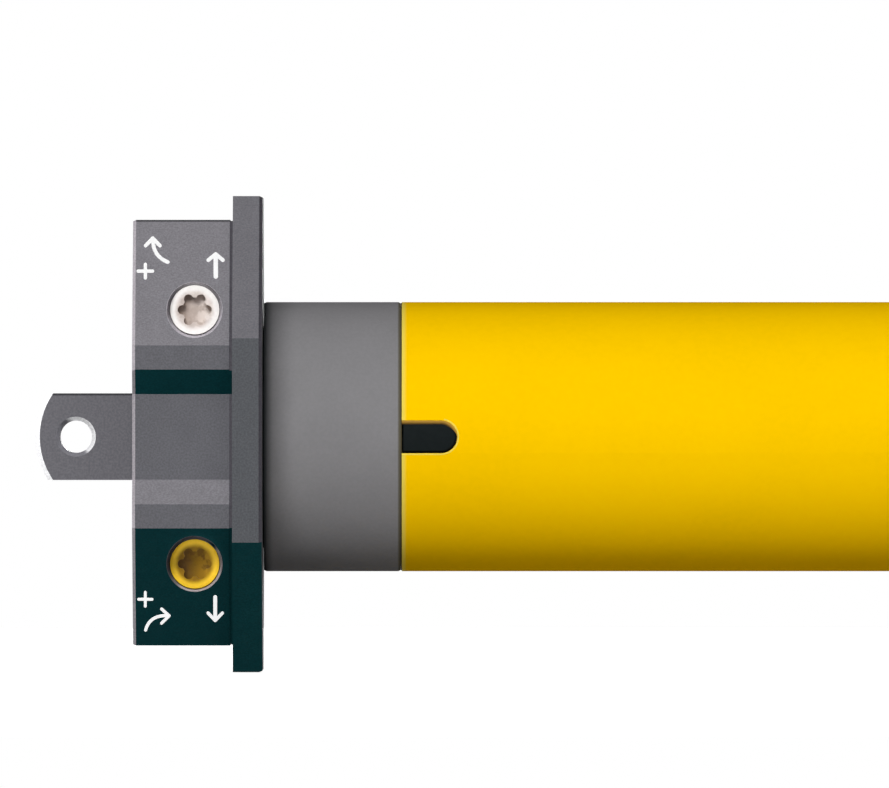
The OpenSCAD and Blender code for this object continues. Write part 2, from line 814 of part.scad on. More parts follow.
module setting_pinion(side) {
    end = x_end_plate + plate_t;
    turn = nut_direction(side) + 180 + 180 / setting_z;
    wheel_tip = worm_wheel_tip - train_m * worm_wheel_z / 2;
    rod(front_wall + pivot_start, adjust_x0 - front_wall, pivot_r, pinion_y, side * pinion_z);
    rod(adjust_x0, end - adjust_x0, pinion_r, pinion_y, side * pinion_z);
    along_x(screw_x - wheel_half) translate([pinion_y, side * pinion_z]) linear_extrude(2 * wheel_half)
        polygon(gear_points(worm_wheel_z, train_m, wheel_tip, 1.2 * train_m, tooth_play));
    along_x(x_mid_plate + plate_t + thrust_gap) translate([pinion_y, side * pinion_z]) rotate(turn)
        linear_extrude(x_switch - x_mid_plate - plate_t - thrust_gap) gear_outline(setting_z, nut_m);
}

// Direction from a spindle to its setting pinion
function nut_direction(side) = atan2(side * (pinion_z - spindle_z), pinion_y - spindle_y);

module setting_pinion_up() {
    color("#e9e4d8") setting_pinion(1);
}

module setting_pinion_down() {
    color("#e9c95a") setting_pinion(-1);
}

module limit_housing() {
    lug_w = slot_w - 2 * slot_gap;
    x0 = x_tube + housing_start;
    color("#2a2d31") difference() {
        union() {
            rod(x_crown, crown_len + 1, journal_r);
            rod(x0, x_housing_end - x0, body_r);
            intersection() {
                rod(x0, slot_len, tube_r - lug_sunk);
                union() {
                    translate([x0, -tube_r, -lug_w / 2])
                        cube([slot_len - slot_w / 2 - housing_start, tube_d, lug_w]);
                    along_y(x_tube + slot_len - slot_w / 2, -tube_r, 0) cylinder(h = tube_d, r = lug_w / 2);
                }
            }
        }
        rod(x_crown + journal_front, x_housing_end, cavity_r);
        rod(x_end_plate, x_housing_end, cavity_r + seat_step);
        translate([x_wheel - wheel_room, cluster_y, -window_half])
            cube([wheel_w + 2 * wheel_room, journal_r, 2 * window_half]);
        for (at = housing_screw_at) {
            rod(x_crown - 1, housing_screw_hole, housing_screw_d / 2 + fit_gap, at[0], at[1]);
        }
        for (side = [-1, 1]) {
            rod(x_crown - 1, journal_front + 2, pinion_r + run_gap, pinion_y, side * pinion_z);
            rod(x_crown + pivot_floor, journal_front + 2, journal_pivot + run_gap,
                spindle_y, side * spindle_z);
        }
        rod(x_crown + pivot_floor, journal_front + 2, axle_r + fit_gap, cluster_y);
        rod(x_crown - 1, journal_front + 2, lead_hole_r, lead_hole_y);
    }
}

module limit_mid_plate() {
    color("#d8d4c8") difference() {
        rod(x_mid_plate, plate_t, cavity_r - fit_gap);
        for (side = [-1, 1]) {
            rod(x_mid_plate - 1, plate_t + 2, pinion_r + run_gap, pinion_y, side * pinion_z);
            rod(x_mid_plate - 1, plate_t + 2, spindle_r + run_gap, spindle_y, side * spindle_z);
        }
        rod(x_mid_plate - 1, plate_t + 2, axle_r + fit_gap, cluster_y);
        rod(x_mid_plate - 1, plate_t + 2, lead_hole_r, lead_hole_y);
    }
}

module limit_frame() {
    rail_x = x_mid_plate + plate_t;
    color("#d8d4c8") difference() {
        union() {
            rod(x_end_plate, plate_t, cavity_r + seat_step - fit_gap);
            translate([rail_x, rail_y, -rail_h / 2]) cube([x_end_plate - rail_x + 1, rail_w, rail_h]);
        }
        for (side = [-1, 1]) {
            rod(x_end_plate - 1, plate_t + 2, pinion_r + run_gap, pinion_y, side * pinion_z);
            rod(x_end_plate - 1, plate_t + 2, journal_pivot + run_gap, spindle_y, side * spindle_z);
        }
        rod(x_end_plate - 1, plate_t + 2, frame_hole_r, frame_hole_at[0], frame_hole_at[1]);
    }
}

module cluster_gear() {
    color("#e2ded2") difference() {
        union() {
            along_x(x_wheel) translate([cluster_y, 0]) linear_extrude(wheel_w) gear_outline(wheel_z, limit_m);
            along_x(x_wheel + wheel_w - eps) translate([cluster_y, 0])
                linear_extrude(spindle_gear_w + cluster_over) gear_outline(cluster_z, train_m);
        }
        rod(x_wheel - 1, wheel_w + spindle_gear_w + 4, axle_r + run_gap, cluster_y);
    }
}

module cluster_axle() {
    x0 = x_crown + pivot_floor;
    color("#b9bbc0") rod(x0, x_mid_plate + plate_t - x0, axle_r, cluster_y);
}

module spindle(side) {
    turn = mesh_turn(cluster_z, spindle_z_count, atan2(side * spindle_z, spindle_y - cluster_y));
    along_x(x_spindle_gear) translate([spindle_y, side * spindle_z]) rotate(turn)
        linear_extrude(spindle_gear_w) gear_outline(spindle_z_count, train_m);
    x0 = x_crown + pivot_floor + fit_gap;
    rod(x0, x_end_plate + plate_t - fit_gap - x0, journal_pivot, spindle_y, side * spindle_z);
    rod(x_spindle_gear, x_end_plate - x_spindle_gear - nut_side_gap, spindle_r, spindle_y,
        side * spindle_z);
}

module spindle_up() {
    color("#c8b273") spindle(1);
}

module spindle_down() {
    color("#c8b273") spindle(-1);
}

// The nut turns between the trip plate's two cheeks, and a foot joins them
module trip_plate(side) {
    cheek_r = nut_reach - pinion_tip_r - nut_clear;
    arm_z = rail_h / 2 + nut_clear;
    arm_h = pinion_z - pinion_tip_r - arm_clear - arm_z;
    arm_bottom = side > 0 ? arm_z : -arm_z - arm_h;
    difference() {
        union() {
            for (x = [x_trip, x_trip + trip_len - cheek_t]) {
                rod(x, cheek_t, cheek_r, spindle_y, side * spindle_z);
                translate([x, web_y, arm_bottom]) cube([cheek_t, spindle_y - web_y, arm_h]);
            }
            translate([x_trip, web_y, arm_bottom]) cube([trip_len, web_t, arm_h]);
            translate([x_trip + trip_len - cheek_t, plunger_y - push_half, arm_bottom])
                cube([cheek_t, web_y + web_t / 2 - plunger_y + push_half, arm_h]);
        }
        rod(x_trip - 1, trip_len + 2, spindle_r + run_gap, spindle_y, side * spindle_z);
    }
}

module trip_plate_up() {
    color("#f0ede4") trip_plate(1);
}

module trip_plate_down() {
    color("#e9c95a") trip_plate(-1);
}

module limit_nut(side) {
    difference() {
        along_x(x_trip + cheek_t + nut_side_gap) translate([spindle_y, side * spindle_z])
            rotate(nut_direction(side)) linear_extrude(nut_w) gear_outline(nut_z, nut_m);
        rod(x_trip - 1, trip_len + 2, spindle_r + run_gap, spindle_y, side * spindle_z);
    }
}

module limit_nut_up() {
    color("#d7b45a") limit_nut(1);
}

module limit_nut_down() {
    color("#d7b45a") limit_nut(-1);
}

module limit_switches() {
    color("#1f2226") for (side = [-1, 1]) {
        difference() {
            translate([x_switch, switch_y, side * (plunger_z + switch_shift) - switch_h / 2])
                cube([switch_len, switch_d, switch_h]);
            rod(x_switch - 1, plunger_hole + 1, plunger_r + run_gap, plunger_y, side * plunger_z);
        }
    }
}

module plunger(side) {
    rod(x_plunger, plunger_out + plunger_in, plunger_r, plunger_y, side * plunger_z);
}

module plunger_up() {
    color("#d23a2a") plunger(1);
}

module plunger_down() {
    color("#d23a2a") plunger(-1);
}

module switch_board() {
    half = sqrt((cavity_r - board_gap) ^ 2 - (board_t - switch_y) ^ 2);
    x0 = x_plunger - board_front;
    color("#2f6b3a") translate([x0, switch_y - board_t, -half]) cube([x_end_plate - x0, board_t, 2 * half]);
}

module crown() {
    x0 = x_crown + crown_gap;
    x1 = x_tube - crown_gap;
    r = crown_r;
    bore = journal_r + crown_play;
    inset = crown_bevel / 2;
    color("#8d8d8f") difference() {
        along_x(0) rotate_extrude($fn = 96) polygon([
            [bore, x0], [r - inset, x0], [r, x0 + crown_bevel], [r, x1 - crown_bevel],
            [r - inset, x1], [bore, x1]
        ]);
        along_x(x_crown + crown_teeth_x) linear_extrude(crown_teeth_w) ring_outline(crown_z, limit_m);
    }
}

module motor_tube() {
    rear = x_collar - x_tube;
    color("#ffcc00") difference() {
        ring(x_tube, rear, tube_r, tube_in);
        translate([x_tube - 1, -tube_d, -slot_w / 2])
            cube([1 + slot_len - slot_w / 2, 2 * tube_d, slot_w]);
        along_y(x_tube + slot_len - slot_w / 2, -tube_d, 0) cylinder(h = 2 * tube_d, r = slot_w / 2);
        for (a = [45:90:315]) rotate([a, 0, 0]) rivet(fit_gap);
    }
}

// Countersunk rivet through the tube's wall, so that the crown's adapter slides over it
module rivet(gap = 0) {
    head_h = tube_r - body_r + rivet_over;
    translate([x_rivet, 0, body_r - rivet_grip - gap]) cylinder(h = rivet_grip + 1, r = rivet_r + gap);
    translate([x_rivet, 0, body_r - gap])
        cylinder(h = head_h + gap, r1 = rivet_r, r2 = rivet_r + head_h + gap);
}

module tube_rivets() {
    color("#c4c6ca") intersection() {
        for (a = [45:90:315]) rotate([a, 0, 0]) rivet();
        rod(x_rivet - tube_r, tube_d, tube_r - rivet_sunk);
    }
}

module capacitor() {
    r = capacitor_d / 2;
    b = 1;
    lid_r = r - 2;
    lid_x = capacitor_len - 1.5;
    tab = [7, 6, 0.8];
    color("#e6e3dc") {
        along_x(x_capacitor) rotate_extrude() polygon([
            [0, 0], [r - b, 0], [r, b], [r, capacitor_len - b], [r - b, capacitor_len],
            [lid_r, capacitor_len], [lid_r, lid_x], [0, lid_x]
        ]);
        for (y = [-5, 5]) {
            translate([x_capacitor + lid_x - 0.5, y - tab[1] / 2, -tab[2] / 2]) cube(tab);
        }
    }
}

module capacitor_cradle() {
    r = capacitor_d / 2 + fit_gap;
    set_in = 4;
    rib_w = 6;
    lead_w = 8;
    color("#dcd9cf") difference() {
        union() {
            for (x = [x_capacitor + set_in, x_capacitor + capacitor_len - set_in - cradle_t]) {
                rod(x, cradle_t, body_r);
            }
            intersection() {
                rod(x_capacitor + set_in, capacitor_len - 2 * set_in, body_r);
                for (a = [30:120:270]) {
                    rotate([a, 0, 0]) translate([x_capacitor, -rib_w / 2, 0])
                        cube([capacitor_len, rib_w, tube_d]);
                }
            }
        }
        rod(x_capacitor, capacitor_len, r);
        for (a = [90, 270]) {
            rotate([a, 0, 0]) translate([x_capacitor, -lead_w / 2, r + 3])
                cube([capacitor_len, lead_w, tube_d]);
        }
    }
}

// Shield with three windows, a bearing seat and a rim that bears on the core
module shield(x, seat_x, rim_x, rim_len) {
    difference() {
        union() {
            rod(x, shield_t, body_r);
            ring(rim_x, rim_len, body_r, body_r - shield_rim);
        }
        rod(seat_x, bearing_w + 1, bearing_d / 2 + fit_gap);
        rod(x - 1, shield_t + 2, shaft_r + 1);
        for (a = [0:120:240]) {
            rotate([a, 0, 0]) rod(x - 1, shield_t + 2, window_r, 0, window_at);
        }
    }
}

module front_shield() {
    color("#b8babd") shield(x_front_shield, x_front_shield + shield_t - bearing_w,
        x_front_shield + shield_t - 1, x_core - x_front_shield - shield_t + 1);
}

module rear_shield() {
    color("#b8babd") shield(x_rear_shield, x_rear_shield - 1,
        x_core + core_len, x_rear_shield - x_core - core_len + 1);
}

module stator_slot(shrink = 0) {
    d = slot_half - slot_r;
    r = slot_r - shrink;
    for (at = [-d, d]) translate([slot_mid_r + at, 0]) circle(r = r, $fn = 24);
    translate([slot_mid_r - d, -r]) square([2 * d, 2 * r]);
}

module stator_core() {
    color("#7d8086") along_x(x_core) linear_extrude(core_len) difference() {
        circle(r = body_r, $fn = 96);
        circle(r = bore_d / 2, $fn = 96);
        for (i = [0:slot_count - 1]) rotate(360 * i / slot_count) {
            stator_slot();
            translate([bore_d / 2 - 1, -slot_mouth / 2]) square([slot_edge + 1.4, slot_mouth]);
        }
    }
}

module stator_windings() {
    b = 1.5;
    end_in = bore_d / 2 + b;
    end_out = slot_mid_r + slot_half - 0.6;
    core_clear = 0.4;
    end_len = winding_end - core_clear;
    color("#b5652c") {
        for (x = [x_core - winding_end, x_core + core_len + core_clear]) {
            along_x(x) rotate_extrude() polygon([
                [end_in, b], [end_in + b, 0], [end_out - b, 0], [end_out, b],
                [end_out, end_len - b], [end_out - b, end_len], [end_in + b, end_len], [end_in, end_len - b]
            ]);
        }
        along_x(x_core - 1) linear_extrude(core_len + 2) {
            for (i = [0:slot_count - 1]) rotate(360 * i / slot_count) stator_slot(0.25);
        }
    }
}

// Sealed ball bearings, with a shallow groove where each seal sits
module motor_bearings() {
    seal_in = shaft_r + 2.2;
    seal_out = bearing_d / 2 - 1.8;
    groove = 0.4;
    color("#c9ccd0") {
        for (x = [x_front_shield + shield_t - bearing_w, x_rear_shield]) {
            difference() {
                ring(x, bearing_w, bearing_d / 2, shaft_r + bearing_gap);
                ring(x - 1, groove + 1, seal_out, seal_in);
                ring(x + bearing_w - groove, groove + 1, seal_out, seal_in);
            }
        }
    }
}

module rotor_core() {
    r = bore_d / 2 - air_gap;
    end_len = 4;
    end_step = 1.4;
    blade_r = r - 4.5;
    blade_len = 2;
    color("#85888d") difference() {
        union() {
            rod(x_core, core_len, r);
            rod(x_core - end_len, core_len + 2 * end_len, r - end_step);
        }
        rod(x_core - end_len - 1, core_len + 2 * end_len + 2, shaft_r + fit_gap);
        for (x = [x_core - end_len - 1, x_core + core_len + end_len - blade_len]) {
            ring(x, blade_len + 1, r, blade_r);
        }
    }
}

// Turned steel shaft with the first sun gear cut on its end
module rotor_shaft() {
    x0 = x_front_shield + shield_t - bearing_w - 2;
    color("#c3c6cb") {
        rod(x0, x_gear + 1 - x0, shaft_r);
        along_x(x_gear) linear_extrude(x_carrier1 - x_gear - 0.5) gear_outline(sun_z, gear_m);
    }
}

module brake_cup() {
    color("#3a3d42") difference() {
        rod(x_cup, cup_len, body_r);
        rod(x_cup + cup_floor, cup_len, cup_in);
        rod(x_cup - 1, cup_len + 2, shaft_r + 1);
        translate([x_armature - armature_travel - 2 * ear_gap, -ear_r - ear_gap, -ear_w / 2 - ear_gap])
            cube([cup_len, 2 * (ear_r + ear_gap), ear_w + 2 * ear_gap]);
    }
}

module brake_coil() {
    cheek = 1;
    wire_r = cup_in - 1.5;
    color("#b5652c") difference() {
        ring(x_coil, coil_len, cup_in - fit_gap, coil_in);
        ring(x_coil + cheek, coil_len - 2 * cheek, cup_in + 1, wire_r);
    }
}

module brake_armature() {
    color("#9a9da2") difference() {
        union() {
            rod(x_armature, armature_t, cup_in - 0.5);
            intersection() {
                rod(x_armature, armature_t, ear_r - ear_gap);
                translate([x_armature, -ear_r, -ear_w / 2]) cube([armature_t, 2 * ear_r, ear_w]);
            }
        }
        rod(x_armature - 1, armature_t + 2, shaft_r + 1);
        ring(x_armature - 1, spring_seat + 1, spring_r + 1.8, spring_r - 1.8);
    }
}

module brake_disc() {
    hub_r = shaft_r + 4;
    vent_r = 2;
    vent_at = 13;
    color("#a0643c") difference() {
        union() {
            ring(x_disc, disc_t - 1, cup_in - 0.8, shaft_r + press_gap);
            ring(x_disc, disc_t + 2, hub_r, shaft_r + press_gap);
        }
        for (a = [0:60:300]) rotate([a, 0, 0]) rod(x_disc - 1, disc_t + 4, vent_r, 0, vent_at);
    }
}

// Compression spring round the shaft, from the cup's floor to the armature
module brake_spring() {
    pts = [for (i = [0:spring_rings], j = [0:5])
        let (
            a = 360 * spring_turns * i / spring_rings,
            b = 60 * j,
            r = spring_r + spring_wire * cos(b),
            x = spring_x0 + (spring_x1 - spring_x0) * i / spring_rings + spring_wire * sin(b)
        )
        [x, r * cos(a), r * sin(a)]];
    sides = [for (i = [0:spring_rings - 1], j = [0:5])
        let (p = 6 * i + j, q = 6 * i + (j + 1) % 6)
        each [[p, p + 6, q], [q, p + 6, q + 6]]];
    ends = [[0, 1, 2, 3, 4, 5], [for (j = [5:-1:0]) 6 * spring_rings + j]];
    color("#8f9296") polyhedron(points = pts, faces = concat(sides, ends));
}

module gear_housing() {
    color("#8a8d92") difference() {
        union() {
            along_x(x_gear) linear_extrude(x_ring_end - x_gear) difference() {
                circle(r = body_r, $fn = 96);
                ring_outline(ring_z, gear_m);
            }
            ring(x_ring_end - eps, x_collar - x_ring_end + 2 * eps, body_r, output_seat_r);
            ring(x_collar, collar_t, tube_r, output_seat_r - seat_lip);
        }
        for (a = [45:90:315]) {
            rotate([a, 0, 0]) translate([x_rivet, 0, body_r - rivet_grip - fit_gap])
                cylinder(h = tube_d, r = rivet_r + fit_gap);
        }
    }
}

// One planet, turned so that a tooth points away from the motor axis
module planet(x, w, place) {
    a = 120 * place;
    along_x(x) rotate(a) translate([planet_reach, 0]) difference() {
        linear_extrude(w) gear_outline(planet_z, gear_m);
        translate([0, 0, -1]) cylinder(h = w + 2, r = planet_pin_d / 2 + run_gap);
    }
}

// Three pins that a carrier's planets turn on
module planet_pins(x, w) {
    for (a = [0:120:240]) {
        along_x(x) rotate(a) translate([planet_reach, 0]) cylinder(h = w, r = planet_pin_d / 2);
    }
}

module carrier(x, planet_w, sun_len) {
    rod(x, carrier_t, carrier_r);
    planet_pins(x - planet_w - 0.3, planet_w + 0.4);
    along_x(x + carrier_t - 0.5) linear_extrude(sun_len + 0.5) gear_outline(sun_z, gear_m);
}

module carrier_1() {
    color("#aeb0b4") carrier(x_carrier1, planet_w1, stage_gap + planet_w2 + 0.1);
}

module carrier_2() {
    color("#aeb0b4") carrier(x_carrier2, planet_w2, stage_gap + planet_w3 + 0.1);
}

module output_shaft() {
    r = output_d / 2;
    color("#b4b6ba") difference() {
        union() {
            rod(x_carrier3, carrier_t, carrier_r);
            planet_pins(x_carrier3 - planet_w3 - 0.3, planet_w3 + 0.4);
            rod(x_carrier3 + 1, x_drive - x_carrier3 - 1, r);
            intersection() {
                along_x(0) rotate_extrude() polygon([
                    [0, x_drive - 1], [drive_d / 2, x_drive - 1],
                    [drive_d / 2, x_drive + drive_len - drive_bevel],
                    [drive_d / 2 - drive_bevel, x_drive + drive_len], [0, x_drive + drive_len]
                ]);
                translate([x_drive - 1, -drive_d, -drive_flats / 2])
                    cube([drive_len + 2, 2 * drive_d, drive_flats]);
            }
        }
        ring(x_clip, clip_w, drive_d, drive_d / 2 - clip_depth);
    }
}

module output_bearing() {
    color("#b08d4a") ring(x_bearing, output_bearing_len - fit_gap, output_seat_r - fit_gap,
        output_d / 2 + run_gap);
}

// Snap ring, open on one side
module retaining_clip() {
    color("#2c2e31") difference() {
        ring(x_clip + fit_gap, clip_w - 2 * fit_gap, drive_d / 2 + clip_over,
            drive_d / 2 - clip_depth + press_gap);
        translate([x_clip - 1, 0, -clip_open / 2]) cube([clip_w + 2, drive_d, clip_open]);
    }
}

head_block();
tenon();
tenon_screws();
flange_plate();
flange_screws();
housing_screws();
limit_screw_up();
limit_screw_down();
screw_seals();
cable_socket();
contact_pins();
setting_pinion_up();
setting_pinion_down();
limit_housing();
limit_mid_plate();
limit_frame();
cluster_gear();
cluster_axle();
spindle_up();
spindle_down();
trip_plate_up();
trip_plate_down();
limit_nut_up();
limit_nut_down();
limit_switches();
plunger_up();
plunger_down();
switch_board();
crown();
motor_tube();
capacitor();
capacitor_cradle();
front_shield();
stator_core();
stator_windings();
rear_shield();
motor_bearings();
rotor_core();
rotor_shaft();
brake_cup();
brake_coil();
brake_armature();
brake_disc();
brake_spring();
gear_housing();
color("#d9dbdf") planet(x_stage1, planet_w1, 0);  // planet_1a
color("#d9dbdf") planet(x_stage1, planet_w1, 1);  // planet_1b
color("#d9dbdf") planet(x_stage1, planet_w1, 2);  // planet_1c
color("#d9dbdf") planet(x_stage2, planet_w2, 0);  // planet_2a
color("#d9dbdf") planet(x_stage2, planet_w2, 1);  // planet_2b
color("#d9dbdf") planet(x_stage2, planet_w2, 2);  // planet_2c
color("#d9dbdf") planet(x_stage3, planet_w3, 0);  // planet_3a
color("#d9dbdf") planet(x_stage3, planet_w3, 1);  // planet_3b
color("#d9dbdf") planet(x_stage3, planet_w3, 2);  // planet_3c
carrier_1();
carrier_2();
output_shaft();
output_bearing();
retaining_clip();
tube_rivets();
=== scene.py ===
"""Looks of the tubular roller blind motor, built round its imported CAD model."""

import math

import bmesh
import bpy
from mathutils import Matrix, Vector
from mathutils.geometry import delaunay_2d_cdt

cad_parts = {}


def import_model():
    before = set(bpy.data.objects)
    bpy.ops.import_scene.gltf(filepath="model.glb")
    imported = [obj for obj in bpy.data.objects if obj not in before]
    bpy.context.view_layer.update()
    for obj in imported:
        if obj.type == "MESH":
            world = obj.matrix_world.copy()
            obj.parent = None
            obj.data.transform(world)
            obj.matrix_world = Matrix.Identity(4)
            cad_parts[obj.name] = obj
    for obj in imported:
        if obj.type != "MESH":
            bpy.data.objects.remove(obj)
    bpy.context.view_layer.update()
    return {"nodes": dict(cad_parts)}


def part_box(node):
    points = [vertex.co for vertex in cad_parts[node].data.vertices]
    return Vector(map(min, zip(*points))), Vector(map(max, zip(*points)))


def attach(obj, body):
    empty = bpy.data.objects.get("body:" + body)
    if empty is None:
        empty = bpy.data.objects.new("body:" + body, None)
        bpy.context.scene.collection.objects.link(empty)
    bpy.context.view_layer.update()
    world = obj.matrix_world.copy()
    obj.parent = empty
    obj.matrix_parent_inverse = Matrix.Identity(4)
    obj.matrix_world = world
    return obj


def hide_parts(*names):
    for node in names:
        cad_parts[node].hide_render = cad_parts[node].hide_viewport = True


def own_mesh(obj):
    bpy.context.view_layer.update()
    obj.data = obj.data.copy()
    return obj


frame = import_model()

# Directions: X along the motor axis from left to right, Z up, the camera in front at -Y
UP = (0, 0, 1)
DOWN = (0, 0, -1)
LEFT = (-1, 0, 0)
RIGHT = (1, 0, 0)
FRONT = (0, -1, 0)
UP_LEFT = (-1, 0, 1)
UP_RIGHT = (1, 0, 1)

# Sizes that the looks and the pieces made here share with the solids, in metres
BLOCK_SIDE = -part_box("head_block")[0].y
BLOCK_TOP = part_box("head_block")[1].z
BLOCK_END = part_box("head_block")[1].x
BLOCK_FACE_HALF = 0.0169
TENON_HALF = 0.00805
TENON_HOLE_X = -0.0107
TENON_HOLE_R = 0.0037
SCREW_X = 0.0115
SCREW_Z = 0.0235
SCREW_FACE_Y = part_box("limit_screw_up")[0].y
RECESS_R = 0.00515
CROWN_START, CROWN_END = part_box("crown")[0].x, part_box("crown")[1].x
TUBE_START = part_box("motor_tube")[0].x
TUBE_R = 0.025
SLOT_LEN = 0.0103
SLOT_W = 0.0061
SLOT_ROUND_X = TUBE_START + SLOT_LEN - SLOT_W / 2
FLOOR_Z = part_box("flange_plate")[0].z - 0.0002

# The brake spring: its wire, coil and turns, and the steps along it and the sides round its wire.
# SPRING_FLAT is how far the solid's six-sided wire reaches along X, as a share of its radius
SPRING_WIRE = 0.0006
SPRING_FLAT = math.sqrt(0.75)
SPRING_R = 0.0078
SPRING_TURNS = 4
SPRING_STEPS = 144
SPRING_SIDES = 12

# The dark ring of painted shade in the gap between crown and tube: steps round it, width,
# inner and outer radius
GAP_STEPS = 160
GAP_WIDE = 0.00018
GAP_IN, GAP_OUT = 0.0239, 0.02485

# The slot's outline: steps along a straight side, with twice as many round its end
SLOT_STEPS = 12
# The strip of painted highlight on the slot's cut edge: half its width, and its section as
# (share of that half, height)
RIM_HALF = 0.00018
RIM_SECTION = ((-1, -0.00005), (-0.7, 0.00002), (0.7, 0.00002), (1, -0.00005))
# The slot's lip: its gap to the slot's side, its full width, and the depths under the tube's
# face of its start, tip and back. Its width grows with how far the slot's side faces up, from
# the least share on. It reaches over the lug, whose face lies 0.4 mm under the tube's
LIP_INSET = 0.00001
LIP_WIDE = 0.00078
LIP_START = 0.00006
LIP_DEEP = 0.00034
LIP_BACK = 0.0006
LIP_LEAST = 0.12
LIP_SWELL = 1.2

# The print: height over the face, depth in it, its own light below the axis, and steps round
# a stroke's end and along a bend. Only the insides of its strokes are filled, and points
# closer than the two limits merge
PRINT_LIFT = 0.00004
PRINT_SINK = 0.00002
LOW_PRINT_GLOW = 0.5
CAP_STEPS = 8
BEND_STEPS = 8
FILL_INSIDE = 1
MERGE_PIXELS = 1e-4
MERGE_METRES = 1e-7

# The photograph's scale: metres per pixel, the pixel column of x = 0 and the row of z = 0
PIXEL = 0.0001858
ZERO_COLUMN = 133.9
ZERO_ROW = 436.1
PHOTO_W = 889
PHOTO_H = 788

# The camera stands so far off that the axis plane fills the picture at that scale, and a
# little higher, because the tube lies a pixel lower in the photograph than the head's axis
LENS = 1400
SENSOR = 36
CAMERA_RISE = 0.0001
CAMERA_DISTANCE = LENS / SENSOR * PHOTO_W * PIXEL
CAMERA_X = (PHOTO_W / 2 - ZERO_COLUMN) * PIXEL
CAMERA_Z = (ZERO_ROW - PHOTO_H / 2) * PIXEL + CAMERA_RISE

# The stage: the world's light on the object, and the floor's radius, own light, brightness
# for the rays that show it, and brightness for the light that it throws back
AMBIENT = 0.085
FLOOR_R = 1.2
FLOOR_GLOW = 0.85
FLOOR_SEEN = 0.8
FLOOR_BOUNCE = 0.35
# Lamps, all aimed at one point of the axis: name, azimuth and elevation in degrees,
# distance, size, strength
LAMP_AIM = (0.08, 0, 0)
LAMPS = (
    ("key", -10, 24, 1.6, 0.5, 0.73),
    ("fill", 15, 15, 2.0, 1.0, 0.12),
    ("top", -5, 50, 1.8, 0.6, 0.07),
    ("back", 180, 6, 1.8, 0.3, 0.6),
    ("left", -90, 6, 1.8, 0.3, 0.55),
    ("right", 130, 6, 1.8, 0.3, 0.45),
)
# A narrow spot for the lower screw, which the block above it shades: its aim, elevation in
# degrees, distance, half width of its light, strength
ACCENT_AIM = (SCREW_X + 0.0005, SCREW_FACE_Y, 0.0010 - SCREW_Z)
ACCENT_ELEVATION = 1
ACCENT_DISTANCE = 0.6
ACCENT_HALF = 0.00525
ACCENT_STRENGTH = 0.5


def tone(red, green, blue):
    """Linear colour of an 8-bit screen colour."""

    def linear(v):
        v /= 255
        return v / 12.92 if v <= 0.04045 else ((v + 0.055) / 1.055) ** 2.4

    return linear(red), linear(green), linear(blue)


# Tones of the head's paint, of its edges and of the screws' recesses. The tones for faces that
# look up are painted light, the teal is painted shade on faces that look down, and the edge,
# groove, bevel and recess tones are painted shade, painted light and painted highlights
BLOCK_SIDE_TONE = tone(100, 100, 105)
BLOCK_UP_TONE = tone(128, 126, 131)
FLANGE_SIDE_TONE = tone(87, 89, 93)
FLANGE_UP_TONE = tone(111, 110, 115)
UNDERSIDE_SHADE_TEAL = tone(10, 54, 58)
EDGE_SHADE = tone(44, 44, 47)
EDGE_HIGHLIGHT = tone(176, 170, 176)
GROOVE_SHADE_TONE = tone(82, 80, 86)
BEVEL_SHADE_TONE = tone(66, 64, 70)
RECESS_LIGHT = tone(186, 180, 186)
RECESS_DARK = tone(104, 101, 106)
RECESS_UPPER = tone(188, 184, 190)
# Tones of the tenon: steel, the painted highlights on its foot line and rounded end, and the
# painted shade and highlight on the hole's rim
STEEL_TONE = tone(109, 108, 113)
STEEL_FOOT = tone(140, 138, 144)
STEEL_END = tone(242, 242, 244)
HOLE_DARK = tone(128, 127, 133)
HOLE_LIGHT = tone(245, 245, 246)
# Tones of the crown with the painted shade at both its ends, of the dark ring of painted shade
# beside it, and of the tube with the painted highlight on its end
CROWN_TONE = tone(131, 130, 132)
CROWN_SHADE = tone(30, 38, 40)
CROWN_OLIVE = tone(96, 91, 76)
GAP_SHADE_TONE = tone(74, 68, 50)
TUBE_TONE = tone(255, 202, 0)
TUBE_END_HIGHLIGHT = tone(234, 216, 96)
# Tones of the painted highlight on the slot's cut edge, and of its lip in painted shade,
# darker towards the lug
SLOT_HIGHLIGHT_TONE = tone(240, 214, 84)
LIP_TONE = tone(196, 150, 66)
LIP_SHADE = tone(52, 42, 26)
# Tones between sheets, wires and threads, and of the print
SHEET_GAP = tone(38, 38, 42)
WIRE_GAP = tone(70, 32, 14)
THREAD_ROOT = tone(80, 66, 34)
PRINT_TONE = tone(250, 250, 250)

HEAD_GLOSS = 0.03
# How far a face looks in a direction, from -1 to 1, when it counts as turned up or down, as
# the tenon's rounded end, as a lit or shaded side of a recess, as the block's end instead of
# its sides, and as a bevel of the flange
FACING_FADE = (0.3, 0.42)
END_FADE = (0.2, 0.4)
RECESS_FADE = 0.3
BLOCK_END_LEAN = 0.7
BEVEL_LEAN = 0.385
BEVEL_SPREAD = 0.15

